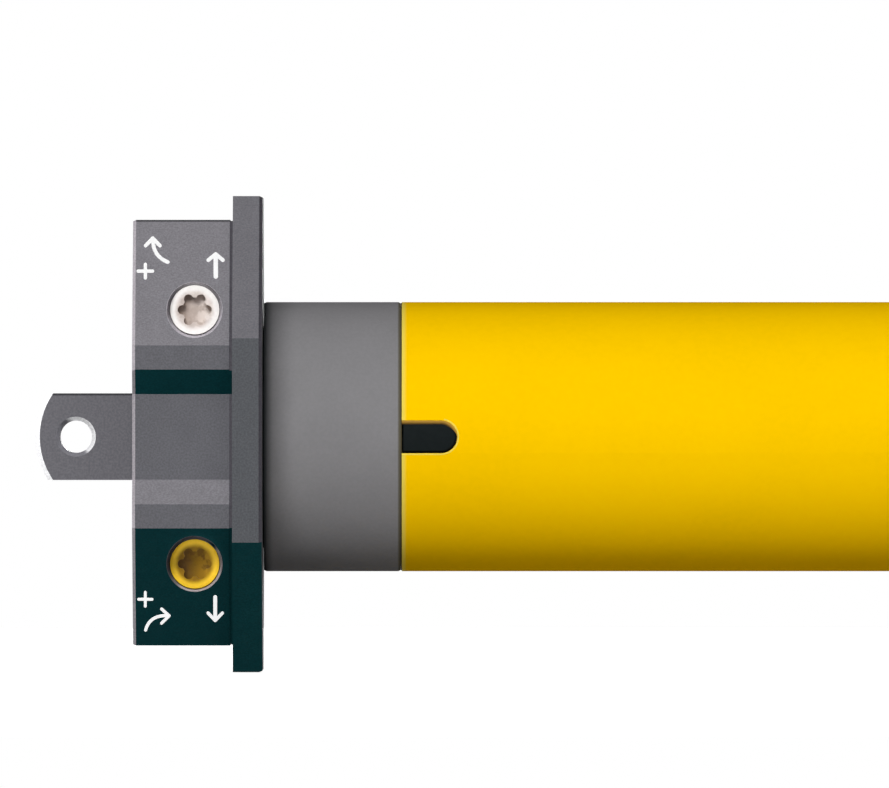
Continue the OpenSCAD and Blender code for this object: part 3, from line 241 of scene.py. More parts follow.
# Lines along edges and fades across them: the places, in metres, where each one sets in and
# where it is full or gone. The hole's are measured from its axis towards the upper right, the
# socket's painted shade from the screw's axis, and the lip's fade from the slot's middle
TOP_LINE = (BLOCK_TOP - 0.0004, BLOCK_TOP - 0.0003)
GROOVE_X = BLOCK_END - 0.00056
FRONT_RIM_X = 0.00055
RECESS_REACH = RECESS_R + 0.00005
TENON_LINE = (TENON_HALF - 0.00045, TENON_HALF - 0.00035)
TENON_FOOT = (-TENON_HALF, 0.0002 - TENON_HALF)
HOLE_SHADE = (-0.001, 0.0)
HOLE_GLEAM = (0.0006, 0.0022)
SCREW_SHADE_REACH = (0.0029, 0.0040)
SOCKET_SHADE = (SCREW_FACE_Y + 0.0001, SCREW_FACE_Y + 0.0007)
SOCKET_END = (SCREW_FACE_Y + 0.0034, SCREW_FACE_Y + 0.0038)
SOCKET_SIDE = (SCREW_X - 0.0024, SCREW_X + 0.0022)
CROWN_FOOT = (CROWN_START - 0.0004, CROWN_START + 0.0019)
CROWN_RIM = (CROWN_END - 0.0007, CROWN_END - 0.0002)
TUBE_RIM = (TUBE_START + 0.0002, TUBE_START + 0.001)
LIP_FADE = (SLOT_W / 2 - LIP_WIDE, SLOT_W / 2 - 0.0001)
PRINT_FADE = (-0.001, 0.001)

# How much of what lies under them the lines and shades cover, from 0 to 1
TOP_LINE_SHARE = 0.8
FRONT_RIM_SHARE = 0.8
BEVEL_SHARE = 0.45
TENON_LINE_SHARE = 0.75
TENON_FOOT_SHARE = 0.7
SCREW_SHADE_SHARE = 0.9
SOCKET_RIGHT_SHARE = 0.05
MOTTLE_AND_SHADE_SHARE = 0.28
BLOTCH_SHARE = 0.4
LEFT_SHARE = 0.7
TUBE_RIM_SHARE = 0.8
LIP_SHARE = 0.95
SHEET_GAP_SHARE = 0.55
WIRE_GAP_SHARE = 0.7
THREAD_ROOT_SHARE = 0.6

# Noise values between which grain and polish go from their least to their most, and between
# which a screw's blotches set in
NOISE_SPAN = (0.3, 0.7)
BLOTCH_SPAN = (0.42, 0.62)


class Look:
    """A material in the making: its Principled shader and the nodes that feed it."""

    def __init__(self, name, colour, rough, metal=0.0, gloss=0.5):
        self.material = bpy.data.materials.new(name)
        self.material.use_nodes = True
        self.tree = self.material.node_tree
        self.shader = self.tree.nodes["Principled BSDF"]
        self.colour = colour
        self.rough = rough
        for socket, value in (
            ("Base Color", (*colour, 1)),
            ("Roughness", rough),
            ("Metallic", metal),
            ("Specular IOR Level", gloss),
        ):
            self.shader.inputs[socket].default_value = value
        self.coords = self.tree.nodes.new("ShaderNodeTexCoord")
        self.place = self.coords.outputs["Object"]
        self.height = None

    def put(self, socket, value):
        """Sets a socket from another socket, a number or a colour."""
        if isinstance(value, bpy.types.NodeSocket):
            self.tree.links.new(value, socket)
        elif hasattr(value, "__len__") and len(value) == 3 and socket.type == "RGBA":
            socket.default_value = (*value, 1)
        else:
            socket.default_value = value

    def node(self, kind, inputs=(), **settings):
        """A shader node with its settings and inputs."""
        made = self.tree.nodes.new("ShaderNode" + kind)
        for key, value in settings.items():
            setattr(made, key, value)
        for key, value in dict(inputs).items():
            self.put(made.inputs[key], value)
        return made

    def math(self, operation, a, b=0.0):
        """The result of one step of arithmetic."""
        made = self.node("Math", {0: a, 1: b}, operation=operation)
        return made.outputs[0]

    def both(self, a, b):
        """The product of two shares."""
        return self.math("MULTIPLY", a, b)

    def axis(self, name):
        """One coordinate of the place on the object."""
        return self.node("SeparateXYZ", {0: self.place}).outputs[name]

    def facing(self, direction):
        """How far the surface faces a direction, from -1 to 1."""
        normal = self.coords.outputs["Normal"]
        unit = Vector(direction).normalized()
        return self.node("VectorMath", {0: normal, 1: unit}, operation="DOT_PRODUCT").outputs[1]

    def along(self, direction, origin):
        """Distance from a place along a direction, in metres."""
        unit = Vector(direction).normalized()
        offset = self.node("VectorMath", {0: self.place, 1: Vector(origin)}, operation="SUBTRACT")
        return self.node(
            "VectorMath", {0: offset.outputs[0], 1: unit}, operation="DOT_PRODUCT"
        ).outputs[1]

    def near(self, value, middle, half):
        """1 where a value lies within half of a middle."""
        return self.node("Math", {0: value, 1: middle, 2: half}, operation="COMPARE").outputs[0]

    def length(self, x, z):
        """Length of a vector in the plane across Y."""
        flat = self.node("CombineXYZ", {0: x, 2: z})
        return self.node("VectorMath", {0: flat.outputs[0]}, operation="LENGTH").outputs[1]

    def from_bore(self, x, z):
        """Distance from the nearer of two axes along Y, at x and at z above and below zero."""
        sideways = self.math("SUBTRACT", self.axis("X"), x)
        height = self.math("SUBTRACT", self.math("ABSOLUTE", self.axis("Z")), z)
        return self.length(sideways, height)

    def noise(self, size, detail=2.0, rough=0.5, stretch=None):
        """Noise whose blotches are about size metres wide, from 0 to 1."""
        vector = self.place
        if stretch:
            vector = self.node("Mapping", {"Vector": self.place, "Scale": stretch}).outputs[0]
        made = self.node(
            "TexNoise",
            {"Vector": vector, "Scale": 1 / size, "Detail": detail, "Roughness": rough},
        )
        return made.outputs["Fac"]

    def remap(self, value, low, high, to_low=0.0, to_high=1.0):
        """A smooth step from to_low at low to to_high at high."""
        made = self.node(
            "MapRange",
            {0: value, 1: low, 2: high, 3: to_low, 4: to_high},
            interpolation_type="SMOOTHSTEP",
        )
        return made.outputs[0]

    def paint(self, value):
        """Makes a colour the surface's own."""
        self.colour = value
        self.put(self.shader.inputs["Base Color"], value)

    def shade(self, share, colour):
        """Mixes a colour over what is there, by share."""
        made = self.node("Mix", {0: share, 6: self.colour, 7: colour}, data_type="RGBA")
        self.paint(made.outputs[2])

    def grain(self, size, amount):
        """Lightens and darkens the colour with fine noise."""
        fine = self.noise(size, detail=3)
        factor = self.remap(fine, *NOISE_SPAN, 1 - amount, 1 + amount)
        scaled = self.node("VectorMath", {0: self.colour, "Scale": factor}, operation="SCALE")
        self.paint(scaled.outputs[0])

    def polish(self, size, spread):
        """Varies the roughness round its mean."""
        least, most = self.rough - spread, self.rough + spread
        value = self.remap(self.noise(size), *NOISE_SPAN, least, most)
        self.put(self.shader.inputs["Roughness"], value)

    def relief(self, value, depth):
        """Adds a height, depth metres from 0 to 1, to the surface's bump."""
        made = self.node("Bump", {"Strength": 1.0, "Distance": depth, "Height": value})
        if self.height is not None:
            self.put(made.inputs["Normal"], self.height)
        self.height = made.outputs[0]
        self.put(self.shader.inputs["Normal"], self.height)


def head_paint(name, side, up):
    """Thin paint on cast metal, with painted light: a lighter tone on the faces that look up."""
    look = Look(name, side, rough=0.65, gloss=HEAD_GLOSS)
    look.shade(look.remap(look.facing(UP), *FACING_FADE), up)
    return look


def undercut(look):
    """Painted shade: a dark teal on the faces that look down."""
    look.shade(look.remap(look.facing(DOWN), *FACING_FADE), UNDERSIDE_SHADE_TEAL)


def head_grain(look):
    """Fine cast grain, shared by the head's paints."""
    look.grain(size=0.00035, amount=0.13)
    look.grain(size=0.004, amount=0.03)
    look.polish(size=0.002, spread=0.06)
    look.relief(look.noise(0.0005, detail=3), depth=0.00006)
    return look


def cast_grey(name):
    """The head block, with painted shade along its top edge and in the groove by the flange, a
    painted highlight on its front rim, and painted light and shade in the screw recesses.
    """
    look = head_paint(name, BLOCK_SIDE_TONE, BLOCK_UP_TONE)
    x = look.axis("X")
    # Painted shade along the top edge
    look.shade(look.remap(look.axis("Z"), *TOP_LINE, to_high=TOP_LINE_SHARE), EDGE_SHADE)
    # Painted shade in the groove by the flange
    look.shade(look.math("GREATER_THAN", x, GROOVE_X), GROOVE_SHADE_TONE)
    undercut(look)
    # Painted highlight on the front rim, on the block's sides but not on its end
    start = look.math("LESS_THAN", x, FRONT_RIM_X)
    sides = look.math("LESS_THAN", look.facing(LEFT), BLOCK_END_LEAN)
    look.shade(look.both(look.both(start, sides), FRONT_RIM_SHARE), EDGE_HIGHLIGHT)
    bore = look.math("LESS_THAN", look.from_bore(SCREW_X, SCREW_Z), RECESS_REACH)
    recess = look.both(bore, look.math("LESS_THAN", look.axis("Y"), 0.0))
    # Painted light on the recess walls that face up and left, painted shade on those that face
    # away, and a light painted tone over the upper recess
    glow = look.facing(UP_LEFT)
    look.shade(look.both(recess, look.remap(glow, 0.0, RECESS_FADE)), RECESS_LIGHT)
    look.shade(look.both(recess, look.remap(glow, -RECESS_FADE, 0.0, 1.0, 0.0)), RECESS_DARK)
    upper = look.math("GREATER_THAN", look.axis("Z"), 0.0)
    look.shade(look.both(recess, upper), RECESS_UPPER)
    return head_grain(look)


def plate_grey(name):
    """The flange plate: painted shade on the bevel of its right edges and a painted highlight on
    the bevel of its left.
    """
    look = head_paint(name, FLANGE_SIDE_TONE, FLANGE_UP_TONE)
    tilt = look.facing(RIGHT)
    # Painted shade on the bevel that leans right
    look.shade(look.near(tilt, BEVEL_LEAN, BEVEL_SPREAD), BEVEL_SHADE_TONE)
    undercut(look)
    # Painted highlight on the bevel that leans left
    left = look.near(tilt, -BEVEL_LEAN, BEVEL_SPREAD)
    look.shade(look.both(left, BEVEL_SHARE), EDGE_HIGHLIGHT)
    return head_grain(look)


def forged_steel(name):
    """The tenon: painted shade along its top edge, painted highlights along its foot and on its
    rounded end, and painted shade and light round the hole's rim.
    """
    look = Look(name, STEEL_TONE, rough=0.6, gloss=HEAD_GLOSS)
    z = look.axis("Z")
    # Painted shade along the top edge, and a painted highlight along the foot
    look.shade(look.remap(z, *TENON_LINE, to_high=TENON_LINE_SHARE), EDGE_SHADE)
    look.shade(look.remap(z, *TENON_FOOT, TENON_FOOT_SHARE, 0.0), STEEL_FOOT)
    # Painted highlight on the rounded end
    end = look.remap(look.facing(LEFT), *END_FADE)
    front = look.remap(look.facing(FRONT), *END_FADE)
    look.shade(look.both(end, front), STEEL_END)
    # Painted shade on the hole's rim towards the lower left, painted light towards the upper
    # right
    ring = look.math("LESS_THAN", look.from_bore(TENON_HOLE_X, 0), TENON_HOLE_R)
    place = look.along(UP_RIGHT, (TENON_HOLE_X, 0, 0))
    look.shade(look.both(ring, look.remap(place, *HOLE_SHADE, 1.0, 0.0)), HOLE_DARK)
    look.shade(look.both(ring, look.remap(place, *HOLE_GLEAM)), HOLE_LIGHT)
    look.grain(size=0.0004, amount=0.12)
    look.polish(size=0.002, spread=0.06)
    look.relief(look.noise(0.0006, detail=3), depth=0.00005)
    return look


def screw_plastic(name, colour, hollow, dark):
    """Moulded screw, with painted shade in and round its six-lobed socket, strongest on the left
    and broken up by random blotches.
    """
    look = Look(name, colour, rough=0.5, gloss=0.05)
    y = look.axis("Y")
    mouth = look.remap(y, *SOCKET_END, 1.0, 0.0)
    reach = look.from_bore(SCREW_X, SCREW_Z)
    # Painted shade in the socket and on the face round it
    ring_shade = look.both(mouth, look.remap(reach, *SCREW_SHADE_REACH, SCREW_SHADE_SHARE, 0.0))
    look.shade(ring_shade, hollow)
    # More painted shade on the socket's left, mixed with random blotches
    blotch = look.remap(look.noise(0.0016, rough=0.6), *BLOTCH_SPAN)
    left = look.remap(look.axis("X"), *SOCKET_SIDE, 1.0, SOCKET_RIGHT_SHARE)
    mottle_and_shade = look.both(look.math("ADD", blotch, left), MOTTLE_AND_SHADE_SHARE)
    look.shade(look.both(ring_shade, mottle_and_shade), dark)
    # Painted shade deeper in the socket
    inside = look.both(mouth, look.remap(y, *SOCKET_SHADE))
    patches_and_shade = look.math("MAXIMUM", look.both(blotch, BLOTCH_SHARE), look.both(left, LEFT_SHARE))
    look.shade(look.both(inside, patches_and_shade), dark)
    look.grain(size=0.0006, amount=0.03)
    look.polish(size=0.001, spread=0.05)
    look.relief(look.noise(0.0008), depth=0.00002)
    return look


def crown_grey(name):
    """The crown, with a painted shadow of the flange at its foot and painted olive shade where it
    meets the tube.
    """
    look = Look(name, CROWN_TONE, rough=0.7, gloss=0.0)
    x = look.axis("X")
    # Painted shadow of the flange on the crown's foot
    look.shade(look.remap(x, *CROWN_FOOT, 1.0, 0.0), CROWN_SHADE)
    # Painted olive shade where the crown meets the tube
    look.shade(look.remap(x, *CROWN_RIM), CROWN_OLIVE)
    look.grain(size=0.0006, amount=0.025)
    look.grain(size=0.009, amount=0.02)
    look.polish(size=0.003, spread=0.05)
    look.relief(look.noise(0.0009), depth=0.00001)
    return look


def tube_yellow(name):
    """The tube's yellow paint, with a painted highlight along its cut end."""
    look = Look(name, TUBE_TONE, rough=0.7, gloss=0.0)
    look.shade(look.remap(look.axis("X"), *TUBE_RIM, TUBE_RIM_SHARE, 0.0), TUBE_END_HIGHLIGHT)
    look.grain(size=0.0012, amount=0.012)
    look.grain(size=0.02, amount=0.012)
    look.polish(size=0.004, spread=0.05)
    look.relief(look.noise(0.0016), depth=0.00001)
    return look


def moulded(name, colour, rough, gloss=0.4):
    """Moulded plastic or rubber."""
    look = Look(name, colour, rough, gloss=gloss)
    look.grain(size=0.0008, amount=0.05)
    look.polish(size=0.002, spread=0.06)
    look.relief(look.noise(0.0007), depth=0.00002)
    return look


def turned(name, colour, rough):
    """Machined metal with fine marks round the motor axis."""
    look = Look(name, colour, rough, metal=1.0)
    look.grain(size=0.0009, amount=0.05)
    look.polish(size=0.001, spread=0.08)
    rings = look.noise(0.0003, detail=1, stretch=(1, 0.02, 0.02))
    look.relief(rings, depth=0.000012)
    return look


def cast(name, colour, rough):
    """Cast metal."""
    look = Look(name, colour, rough, metal=0.85)
    look.grain(size=0.0008, amount=0.08)
    look.polish(size=0.002, spread=0.08)
    look.relief(look.noise(0.0009, detail=3), depth=0.00004)
    return look


def waves(look, pitch, wander=0.0):
    """Waves along the motor axis, from -1 to 1, which noise may shift."""
    phase = look.math("MULTIPLY", look.axis("X"), 2 * math.pi / pitch)
    if wander:
        shift = look.math("MULTIPLY", look.noise(0.006), wander)
        phase = look.math("ADD", phase, shift)
    return look.math("SINE", phase)


def laminated(name, colour):
    """Stack of sheets across the motor axis."""
    look = Look(name, colour, rough=0.45, metal=0.9)
    sheets = waves(look, pitch=0.0006)
    look.shade(look.remap(sheets, 0.6, 1.0, to_high=SHEET_GAP_SHARE), SHEET_GAP)
    look.grain(size=0.0008, amount=0.07)
    look.relief(sheets, depth=0.00002)
    return look


def wound(name, colour):
    """Enamelled wire, laid round the motor axis."""
    look = Look(name, colour, rough=0.3, metal=0.8)
    wires = waves(look, pitch=0.0008, wander=5.0)
    look.shade(look.remap(wires, -1.0, -0.4, WIRE_GAP_SHARE, 0.0), WIRE_GAP)
    look.relief(wires, depth=0.00015)
    return look


def threaded(name, colour):
    """Threaded spindle, its thread as relief."""
    look = Look(name, colour, rough=0.3, metal=1.0)
    thread = waves(look, pitch=0.0007)
    look.shade(look.remap(thread, -1.0, -0.2, THREAD_ROOT_SHARE, 0.0), THREAD_ROOT)
    look.grain(size=0.0008, amount=0.06)
    look.relief(thread, depth=0.00025)
    return look


# Each material slot's look: the function that makes it, then what that takes after the name
LOOKS = {
    "cast_grey": (cast_grey,),
    "plate_grey": (plate_grey,),
    "forged_steel": (forged_steel,),
    # The screws' second and third tones are the painted shade in and round their sockets
    "screw_white": (screw_plastic, tone(249, 246, 242), tone(230, 219, 212), tone(150, 132, 121)),
    "screw_yellow": (screw_plastic, tone(244, 199, 50), tone(132, 94, 9), tone(46, 20, 3)),
    "crown_grey": (crown_grey,),
    "tube_yellow": (tube_yellow,),
    "zinc_steel": (turned, tone(176, 176, 172), 0.35),
    "seal_black": (moulded, tone(60, 59, 63), 0.6, 0.1),
    "socket_black": (moulded, tone(38, 40, 45), 0.45),
    "contact_brass": (turned, tone(214, 184, 104), 0.28),
    "natural_plastic": (moulded, tone(226, 222, 208), 0.5),
    "housing_black": (moulded, tone(22, 27, 28), 0.6, 0.03),
    "spindle_brass": (threaded, tone(205, 178, 106)),
    "switch_black": (moulded, tone(32, 33, 36), 0.4),
    "plunger_red": (moulded, tone(205, 48, 34), 0.4),
    "board_green": (moulded, tone(42, 104, 58), 0.35),
    "capacitor_white": (moulded, tone(228, 225, 217), 0.4),
    "shield_alloy": (cast, tone(186, 188, 190), 0.5),
    "lamination_steel": (laminated, tone(138, 140, 144)),
    "copper_wire": (wound, tone(198, 110, 56)),
    "bearing_steel": (turned, tone(206, 208, 210), 0.22),
    "machined_steel": (turned, tone(158, 160, 164), 0.42),
    "cup_black": (cast, tone(62, 64, 68), 0.55),
    "friction_lining": (moulded, tone(150, 100, 66), 0.8, 0.2),
    "spring_steel": (turned, tone(150, 152, 156), 0.3),
    "gear_steel": (turned, tone(196, 198, 202), 0.28),
    "housing_alloy": (cast, tone(150, 152, 156), 0.45),
    "bearing_bronze": (turned, tone(196, 154, 86), 0.35),
    "clip_black": (turned, tone(52, 54, 58), 0.4),
}


def dress_nodes():
    """Gives every CAD node the look of its material slot, and returns the materials by slot."""
    made = {}
    for part in frame["nodes"].values():
        slots = part.data.materials
        for i, material in enumerate(slots):
            name = material.name.split(".")[0]
            if name not in made:
                maker, *details = LOOKS[name]
                made[name] = maker(name, *details).material
            slots[i] = made[name]
    return made


materials = dress_nodes()


# Helpers for the pieces made here
def piece(name, mesh, material):
    """An object from a bmesh, riding on the fixed body."""
    data = bpy.data.meshes.new(name)
    mesh.to_mesh(data)
    mesh.free()
    data.materials.append(material)
    made = bpy.data.objects.new(name, data)
    bpy.context.scene.collection.objects.link(made)
    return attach(made, "root")


def skin(mesh, rows, closed=False):
    """Faces between neighbouring loops of vertices, with end caps unless the rows close."""
    pairs = list(zip(rows, rows[1:]))
    if closed:
        pairs.append((rows[-1], rows[0]))
    for a, b in pairs:
        for i in range(len(a)):
            j = (i + 1) % len(a)
            mesh.faces.new([a[i], a[j], b[j], b[i]])
    if not closed:
        mesh.faces.new(rows[0][::-1])
        mesh.faces.new(rows[-1])
    bmesh.ops.recalc_face_normals(mesh, faces=mesh.faces)


# Printed marks: strokes in the photograph's pixels, laid on the 45 degree faces
def capsule(a, b, width):
    """Outline of a stroke from a to b with round ends."""
    a, b = Vector(a), Vector(b)
    along = (b - a).normalized()
    across = Vector((-along.y, along.x))
    points = []
    for centre, turn in ((b, -1), (a, 1)):
        for k in range(CAP_STEPS + 1):
            angle = math.pi * k / CAP_STEPS
            points.append(centre - turn * across * math.cos(angle) * width / 2
                          - turn * along * math.sin(angle) * width / 2)
    return points


def on_face(column, row):
    """Place on the block's 45 degree faces that shows at a pixel of the photograph."""
    z = (ZERO_ROW - row) * PIXEL
    # Twice, because the scale depends on the depth, and the depth on the height found so far
    for _ in range(2):
        y = abs(z) - BLOCK_SIDE - BLOCK_FACE_HALF
        scale = PIXEL * (1 + y / CAMERA_DISTANCE)
        z = CAMERA_Z - (row - PHOTO_H / 2) * scale
    x = CAMERA_X + (column - PHOTO_W / 2) * scale
    return Vector((x, abs(z) - BLOCK_SIDE - BLOCK_FACE_HALF, z))


def printed_white():
    """White print, a little self-lit below so that it stays readable on the undercut faces."""
    look = Look("printed_white", PRINT_TONE, rough=0.5, gloss=0.1)
    look.grain(size=0.0005, amount=0.03)
    look.relief(look.noise(0.0004), depth=0.00001)
    low = look.remap(look.axis("Z"), *PRINT_FADE, LOW_PRINT_GLOW, 0.0)
    look.put(look.shader.inputs["Emission Color"], PRINT_TONE)
    look.put(look.shader.inputs["Emission Strength"], low)
    return look.material


def mark(name, strokes, side, material):
    """Thin printed sign on the upper (side 1) or lower (side -1) 45 degree face."""
    verts, faces = [], []
    for width, line in strokes:
        for a, b in zip(line, line[1:]):
            start = len(verts)
            verts += capsule(a, b, width)
            faces.append(list(range(start, len(verts))))
    points, _, tris, *_ = delaunay_2d_cdt(verts, [], faces, FILL_INSIDE, MERGE_PIXELS)
    outward = Vector((0, -1, side)).normalized()
    mesh = bmesh.new()
    top, bottom = (
        [mesh.verts.new(on_face(p.x, p.y) + outward * offset) for p in points]
        for offset in (PRINT_LIFT, -PRINT_SINK)
    )
    edges = {}
    for tri in tris:
        mesh.faces.new([top[i] for i in tri])
        mesh.faces.new([bottom[i] for i in reversed(tri)])
        for a, b in zip(tri, tri[1:] + tri[:1]):
            edges[(a, b)] = True
    for a, b in edges:
        if (b, a) not in edges:
            mesh.faces.new([top[b], top[a], bottom[a], bottom[b]])
    bmesh.ops.remove_doubles(mesh, verts=mesh.verts, dist=MERGE_METRES)
    loose = [v for v in mesh.verts if not v.link_faces]
    bmesh.ops.delete(mesh, geom=loose, context="VERTS")
    bmesh.ops.recalc_face_normals(mesh, faces=mesh.faces)
    return piece(name, mesh, material)


def plus(centre, half_w, half_h, width):
    """Strokes of a plus sign."""
    x, y = centre
    return [
        (width, [(x - half_w, y), (x + half_w, y)]),
        (width, [(x, y - half_h), (x, y + half_h)]),
    ]


def bend(start, pull, end):
    """Points of a curve from start to end, drawn towards a third point."""
    curve = []
    for k in range(BEND_STEPS + 1):
        t = k / BEND_STEPS
        curve.append(tuple(
            (1 - t) ** 2 * a + 2 * t * (1 - t) * b + t**2 * c for a, b, c in zip(start, pull, end)
        ))
    return curve


# Each sign's strokes: width, then the line's points by pixel column and row
PLUS_UP = plus((145.4, 271.2), 7.2, 6.8, 3.3)
TURN_UP = [
    (3.7, [(145.7, 245.7), (152.8, 238.3), (159.9, 245.8)]),
    (3.7, bend((152.8, 239.0), (152.8, 256.4), (167.8, 262.1))),
]
ARROW_UP = [
    (4.5, [(215.7, 256.0), (215.8, 276.6)]),
    (3.8, [(208.3, 260.2), (215.7, 254.2), (222.9, 260.2)]),
]
PLUS_DOWN = plus((145.3, 599.2), 6.7, 6.9, 2.8)
TURN_DOWN = [
    (3.0, [*bend((145.6, 629.9), (149.0, 617.0), (163.0, 615.6)), (168.9, 615.7)]),
    (2.9, [(161.6, 608.9), (169.2, 615.7), (161.6, 623.1)]),
]
ARROW_DOWN = [
    (3.8, [(215.2, 597.0), (215.2, 618.0)]),
    (3.1, [(208.0, 612.9), (215.2, 620.4), (222.4, 612.9)]),
]

ink = printed_white()
for mark_name, strokes, side in (
    ("mark_plus_up", PLUS_UP, 1),
    ("mark_turn_up", TURN_UP, 1),
    ("mark_arrow_up", ARROW_UP, 1),
    ("mark_plus_down", PLUS_DOWN, -1),
    ("mark_turn_down", TURN_DOWN, -1),
    ("mark_arrow_down", ARROW_DOWN, -1),
):
    mark(mark_name, strokes, side, ink)


# The tube's slot: painted highlight on its cut edge, and its lip in painted shade
def slot_outline(inset, first, last):
    """Places (x, z) and outward directions along the slot, from the lower to the upper side.

    The straight sides come from the tube's end; first and last are angles round the slot's
    end, from -90 degrees below to 90 degrees above.
    """
    r = SLOT_W / 2 - inset
    straight = SLOT_ROUND_X - TUBE_START
    points = []
    if first <= -90:
        for k in range(SLOT_STEPS):
            points.append(((TUBE_START + straight * k / SLOT_STEPS, -r), (0, -1)))
    for k in range(2 * SLOT_STEPS + 1):
        a = math.radians(first + (last - first) * k / (2 * SLOT_STEPS))
        place = (SLOT_ROUND_X + r * math.cos(a), r * math.sin(a))
        points.append((place, (math.cos(a), math.sin(a))))
    if last >= 90:
        for k in range(1, SLOT_STEPS + 1):
            points.append(((SLOT_ROUND_X - straight * k / SLOT_STEPS, r), (0, 1)))
    return points


def highlight_edge():
    """Painted highlight on the edge where the punch cut the tube's slot."""
    look = Look("highlight_edge", SLOT_HIGHLIGHT_TONE, rough=0.5, gloss=0.05)
    look.grain(size=0.0004, amount=0.08)
    look.relief(look.noise(0.0005), depth=0.00001)
    return look.material


def slot_rim(name, side, material):
    """Painted highlight along the cut edge under the tube's slot and round its end, on the -Y or
    +Y side.
    """
    mesh = bmesh.new()
    rows = []
    for (x, z), (dx, dz) in slot_outline(-RIM_HALF, -90, 80):
        y = math.sqrt(TUBE_R**2 - z**2)
        place = Vector((x, side * y, z))
        outward = Vector((0, side * y, z)) / TUBE_R
        sideways = Vector((dx, 0, dz))
        rows.append([
            mesh.verts.new(place + sideways * RIM_HALF * share + outward * lift)
            for share, lift in RIM_SECTION
        ])
    skin(mesh, rows)
    return piece(name, mesh, material)


def lip_ochre():
    """Painted shade on the lip: brownish, and darker towards the lug."""
    look = Look("lip_ochre", LIP_TONE, rough=0.7, gloss=0.0)
    past = look.math("MAXIMUM", look.math("SUBTRACT", look.axis("X"), SLOT_ROUND_X), 0.0)
    reach = look.length(past, look.axis("Z"))
    look.shade(look.remap(reach, *LIP_FADE, LIP_SHARE, 0.0), LIP_SHADE)
    look.grain(size=0.0005, amount=0.05)
    look.relief(look.noise(0.0005), depth=0.00001)
    return look.material


def slot_lip(name, side, material):
    """Sloped lip that the punch left along the slot's upper side and round its end, in painted
    shade.
    """
    mesh = bmesh.new()
    rows = []
    for (x, z), (dx, dz) in slot_outline(LIP_INSET, -20, 90):
        y = math.sqrt(TUBE_R**2 - z**2)
        wide = LIP_WIDE * min(max(dz * LIP_SWELL, LIP_LEAST), 1)
        rows.append([
            mesh.verts.new((x - dx * inward, side * (y - deep), z - dz * inward))
            for inward, deep in ((0, LIP_START), (wide, LIP_DEEP), (0, LIP_BACK))
        ])
    skin(mesh, rows)
    return piece(name, mesh, material)


# The gap between crown and tube, and the brake spring
def gap_ring():
    """Dark ring of painted shade that closes the gap between the crown and the tube's end."""
    profile = (
        (TUBE_START - GAP_WIDE, GAP_IN),
        (TUBE_START - GAP_WIDE, GAP_OUT),
        (TUBE_START, GAP_OUT),
        (TUBE_START, GAP_IN),
    )
    mesh = bmesh.new()
    rows = []
    for k in range(GAP_STEPS):
        a = 2 * math.pi * k / GAP_STEPS
        rows.append([mesh.verts.new((x, r * math.cos(a), r * math.sin(a))) for x, r in profile])
    skin(mesh, rows, closed=True)
    return piece("gap_ring", mesh, moulded("gap_shade", GAP_SHADE_TONE, 0.9, 0.0).material)


def round_spring():
    """Round-wire brake spring over the solid's length, in place of its six-sided wire. It keeps
    its length at rest and does not shorten as the armature moves.
    """
    low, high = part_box("brake_spring")
    first = low.x + SPRING_WIRE * SPRING_FLAT
    last = high.x - SPRING_WIRE * SPRING_FLAT
    mesh = bmesh.new()
    rows = []
    for i in range(SPRING_STEPS + 1):
        a = 2 * math.pi * SPRING_TURNS * i / SPRING_STEPS
        middle = first + (last - first) * i / SPRING_STEPS
        row = []
        for j in range(SPRING_SIDES):
            b = 2 * math.pi * j / SPRING_SIDES
            r = SPRING_R + SPRING_WIRE * math.cos(b)
            x = middle + SPRING_WIRE * math.sin(b)
            row.append(mesh.verts.new((x, r * math.cos(a), r * math.sin(a))))
        rows.append(row)
    skin(mesh, rows)
    for face in mesh.faces:
        face.smooth = len(face.verts) == 4
    made = piece("round_spring", mesh, materials["spring_steel"])
    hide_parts("brake_spring")
    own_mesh(made)


edge = highlight_edge()
lip = lip_ochre()
for where, side in (("front", -1), ("back", 1)):
    slot_rim("slot_rim_" + where, side, edge)
    slot_lip("slot_lip_" + where, side, lip)
gap_ring()
round_spring()


# Stage: floor, world, lamps and camera
def seen_rays(tree):
    """1 for the rays that show the background: camera, glossy and transmission rays."""
    rays = tree.nodes.new("ShaderNodeLightPath")
    total = rays.outputs["Is Camera Ray"]
    for kind in ("Is Glossy Ray", "Is Transmission Ray"):
        larger = tree.nodes.new("ShaderNodeMath")
        larger.operation = "MAXIMUM"
        tree.links.new(total, larger.inputs[0])
        tree.links.new(rays.outputs[kind], larger.inputs[1])
        total = larger.outputs[0]
    return total


def floor_material():
    """White floor that glows for the rays that show it and bounces less light than it shows."""
    material = bpy.data.materials.new("floor")
    material.use_nodes = True
    tree = material.node_tree
    shader = tree.nodes["Principled BSDF"]
    shader.inputs["Roughness"].default_value = 0.9
    shader.inputs["Specular IOR Level"].default_value = 0.0
    shader.inputs["Emission Color"].default_value = (1, 1, 1, 1)
    seen = seen_rays(tree)
    lit = tree.nodes.new("ShaderNodeMath")
    lit.operation = "MULTIPLY"
    lit.inputs[1].default_value = FLOOR_GLOW
    tree.links.new(seen, lit.inputs[0])
    tree.links.new(lit.outputs[0], shader.inputs["Emission Strength"])
    colour = tree.nodes.new("ShaderNodeMix")
    colour.data_type = "RGBA"
    colour.inputs[6].default_value = (FLOOR_BOUNCE, FLOOR_BOUNCE, FLOOR_BOUNCE, 1)
    colour.inputs[7].default_value = (FLOOR_SEEN, FLOOR_SEEN, FLOOR_SEEN, 1)
    tree.links.new(seen, colour.inputs[0])
    tree.links.new(colour.outputs[2], shader.inputs["Base Color"])
    return material


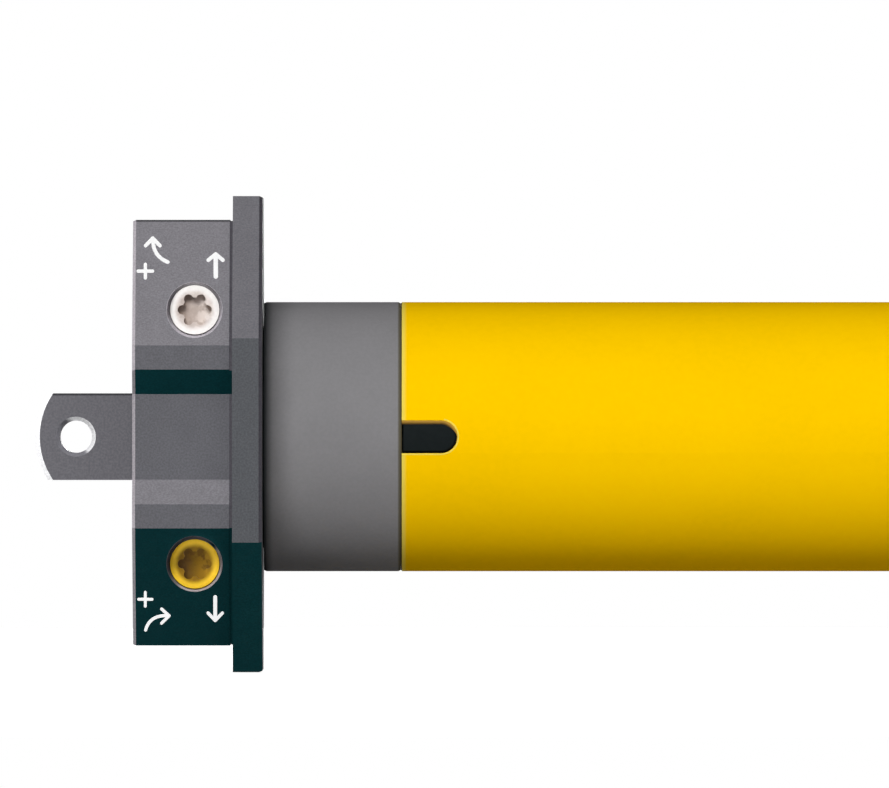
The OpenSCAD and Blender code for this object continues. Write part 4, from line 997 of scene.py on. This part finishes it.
def floor():
    """Round floor under the flange, where the object's shadow falls."""
    mesh = bmesh.new()
    bmesh.ops.create_circle(mesh, cap_ends=True, segments=128, radius=FLOOR_R)
    data = bpy.data.meshes.new("floor")
    mesh.to_mesh(data)
    mesh.free()
    data.materials.append(floor_material())
    plane = bpy.data.objects.new("floor", data)
    plane.location.z = FLOOR_Z
    bpy.context.scene.collection.objects.link(plane)


def world():
    """White background that lights the object only a little."""
    made = bpy.data.worlds.new("studio")
    made.use_nodes = True
    tree = made.node_tree
    background = tree.nodes["Background"]
    background.inputs["Color"].default_value = (1, 1, 1, 1)
    strength = tree.nodes.new("ShaderNodeMapRange")
    strength.inputs[3].default_value = AMBIENT
    strength.inputs[4].default_value = 1.0
    tree.links.new(seen_rays(tree), strength.inputs[0])
    tree.links.new(strength.outputs[0], background.inputs["Strength"])
    bpy.context.scene.world = made


def aim(name, data, target, azimuth, elevation, distance):
    """Places a lamp at a distance from a target, turned towards it; azimuth 0 is in front."""
    a, e = math.radians(azimuth), math.radians(elevation)
    back = Vector((math.sin(a) * math.cos(e), -math.cos(a) * math.cos(e), math.sin(e)))
    made = bpy.data.objects.new(name, data)
    made.location = Vector(target) + back * distance
    made.rotation_mode = "QUATERNION"
    made.rotation_quaternion = back.to_track_quat("Z", "Y")
    bpy.context.scene.collection.objects.link(made)


def lamp(name, azimuth, elevation, distance, size, strength):
    """Area lamp aimed at the axis; strength is the brightness of a white face turned to it."""
    data = bpy.data.lights.new(name, "AREA")
    data.shape = "DISK"
    data.size = size
    data.energy = strength * math.pi**2 * distance**2
    aim(name, data, LAMP_AIM, azimuth, elevation, distance)


def spot(name, target, elevation, distance, half_width, strength):
    """Narrow spot from the front; strength is the brightness of a white face turned to it."""
    data = bpy.data.lights.new(name, "SPOT")
    data.spot_size = 2 * math.atan(half_width / distance)
    data.spot_blend = 0.7
    data.shadow_soft_size = 0.001
    data.energy = strength * 4 * math.pi**2 * distance**2
    aim(name, data, target, 0, elevation, distance)


def camera():
    """Long lens at the photograph's scale, level with the motor."""
    data = bpy.data.cameras.new("camera")
    data.type = "PERSP"
    data.sensor_width = SENSOR
    data.lens = LENS
    data.clip_start, data.clip_end = 0.1, 200
    made = bpy.data.objects.new("camera", data)
    made.location = (CAMERA_X, -CAMERA_DISTANCE, CAMERA_Z)
    made.rotation_euler = (math.pi / 2, 0, 0)
    bpy.context.scene.collection.objects.link(made)
    bpy.context.scene.camera = made


floor()
world()
for settings in LAMPS:
    lamp(*settings)
spot("accent", ACCENT_AIM, ACCENT_ELEVATION, ACCENT_DISTANCE, ACCENT_HALF, ACCENT_STRENGTH)
camera()
bpy.context.scene.view_settings.view_transform = "Standard"
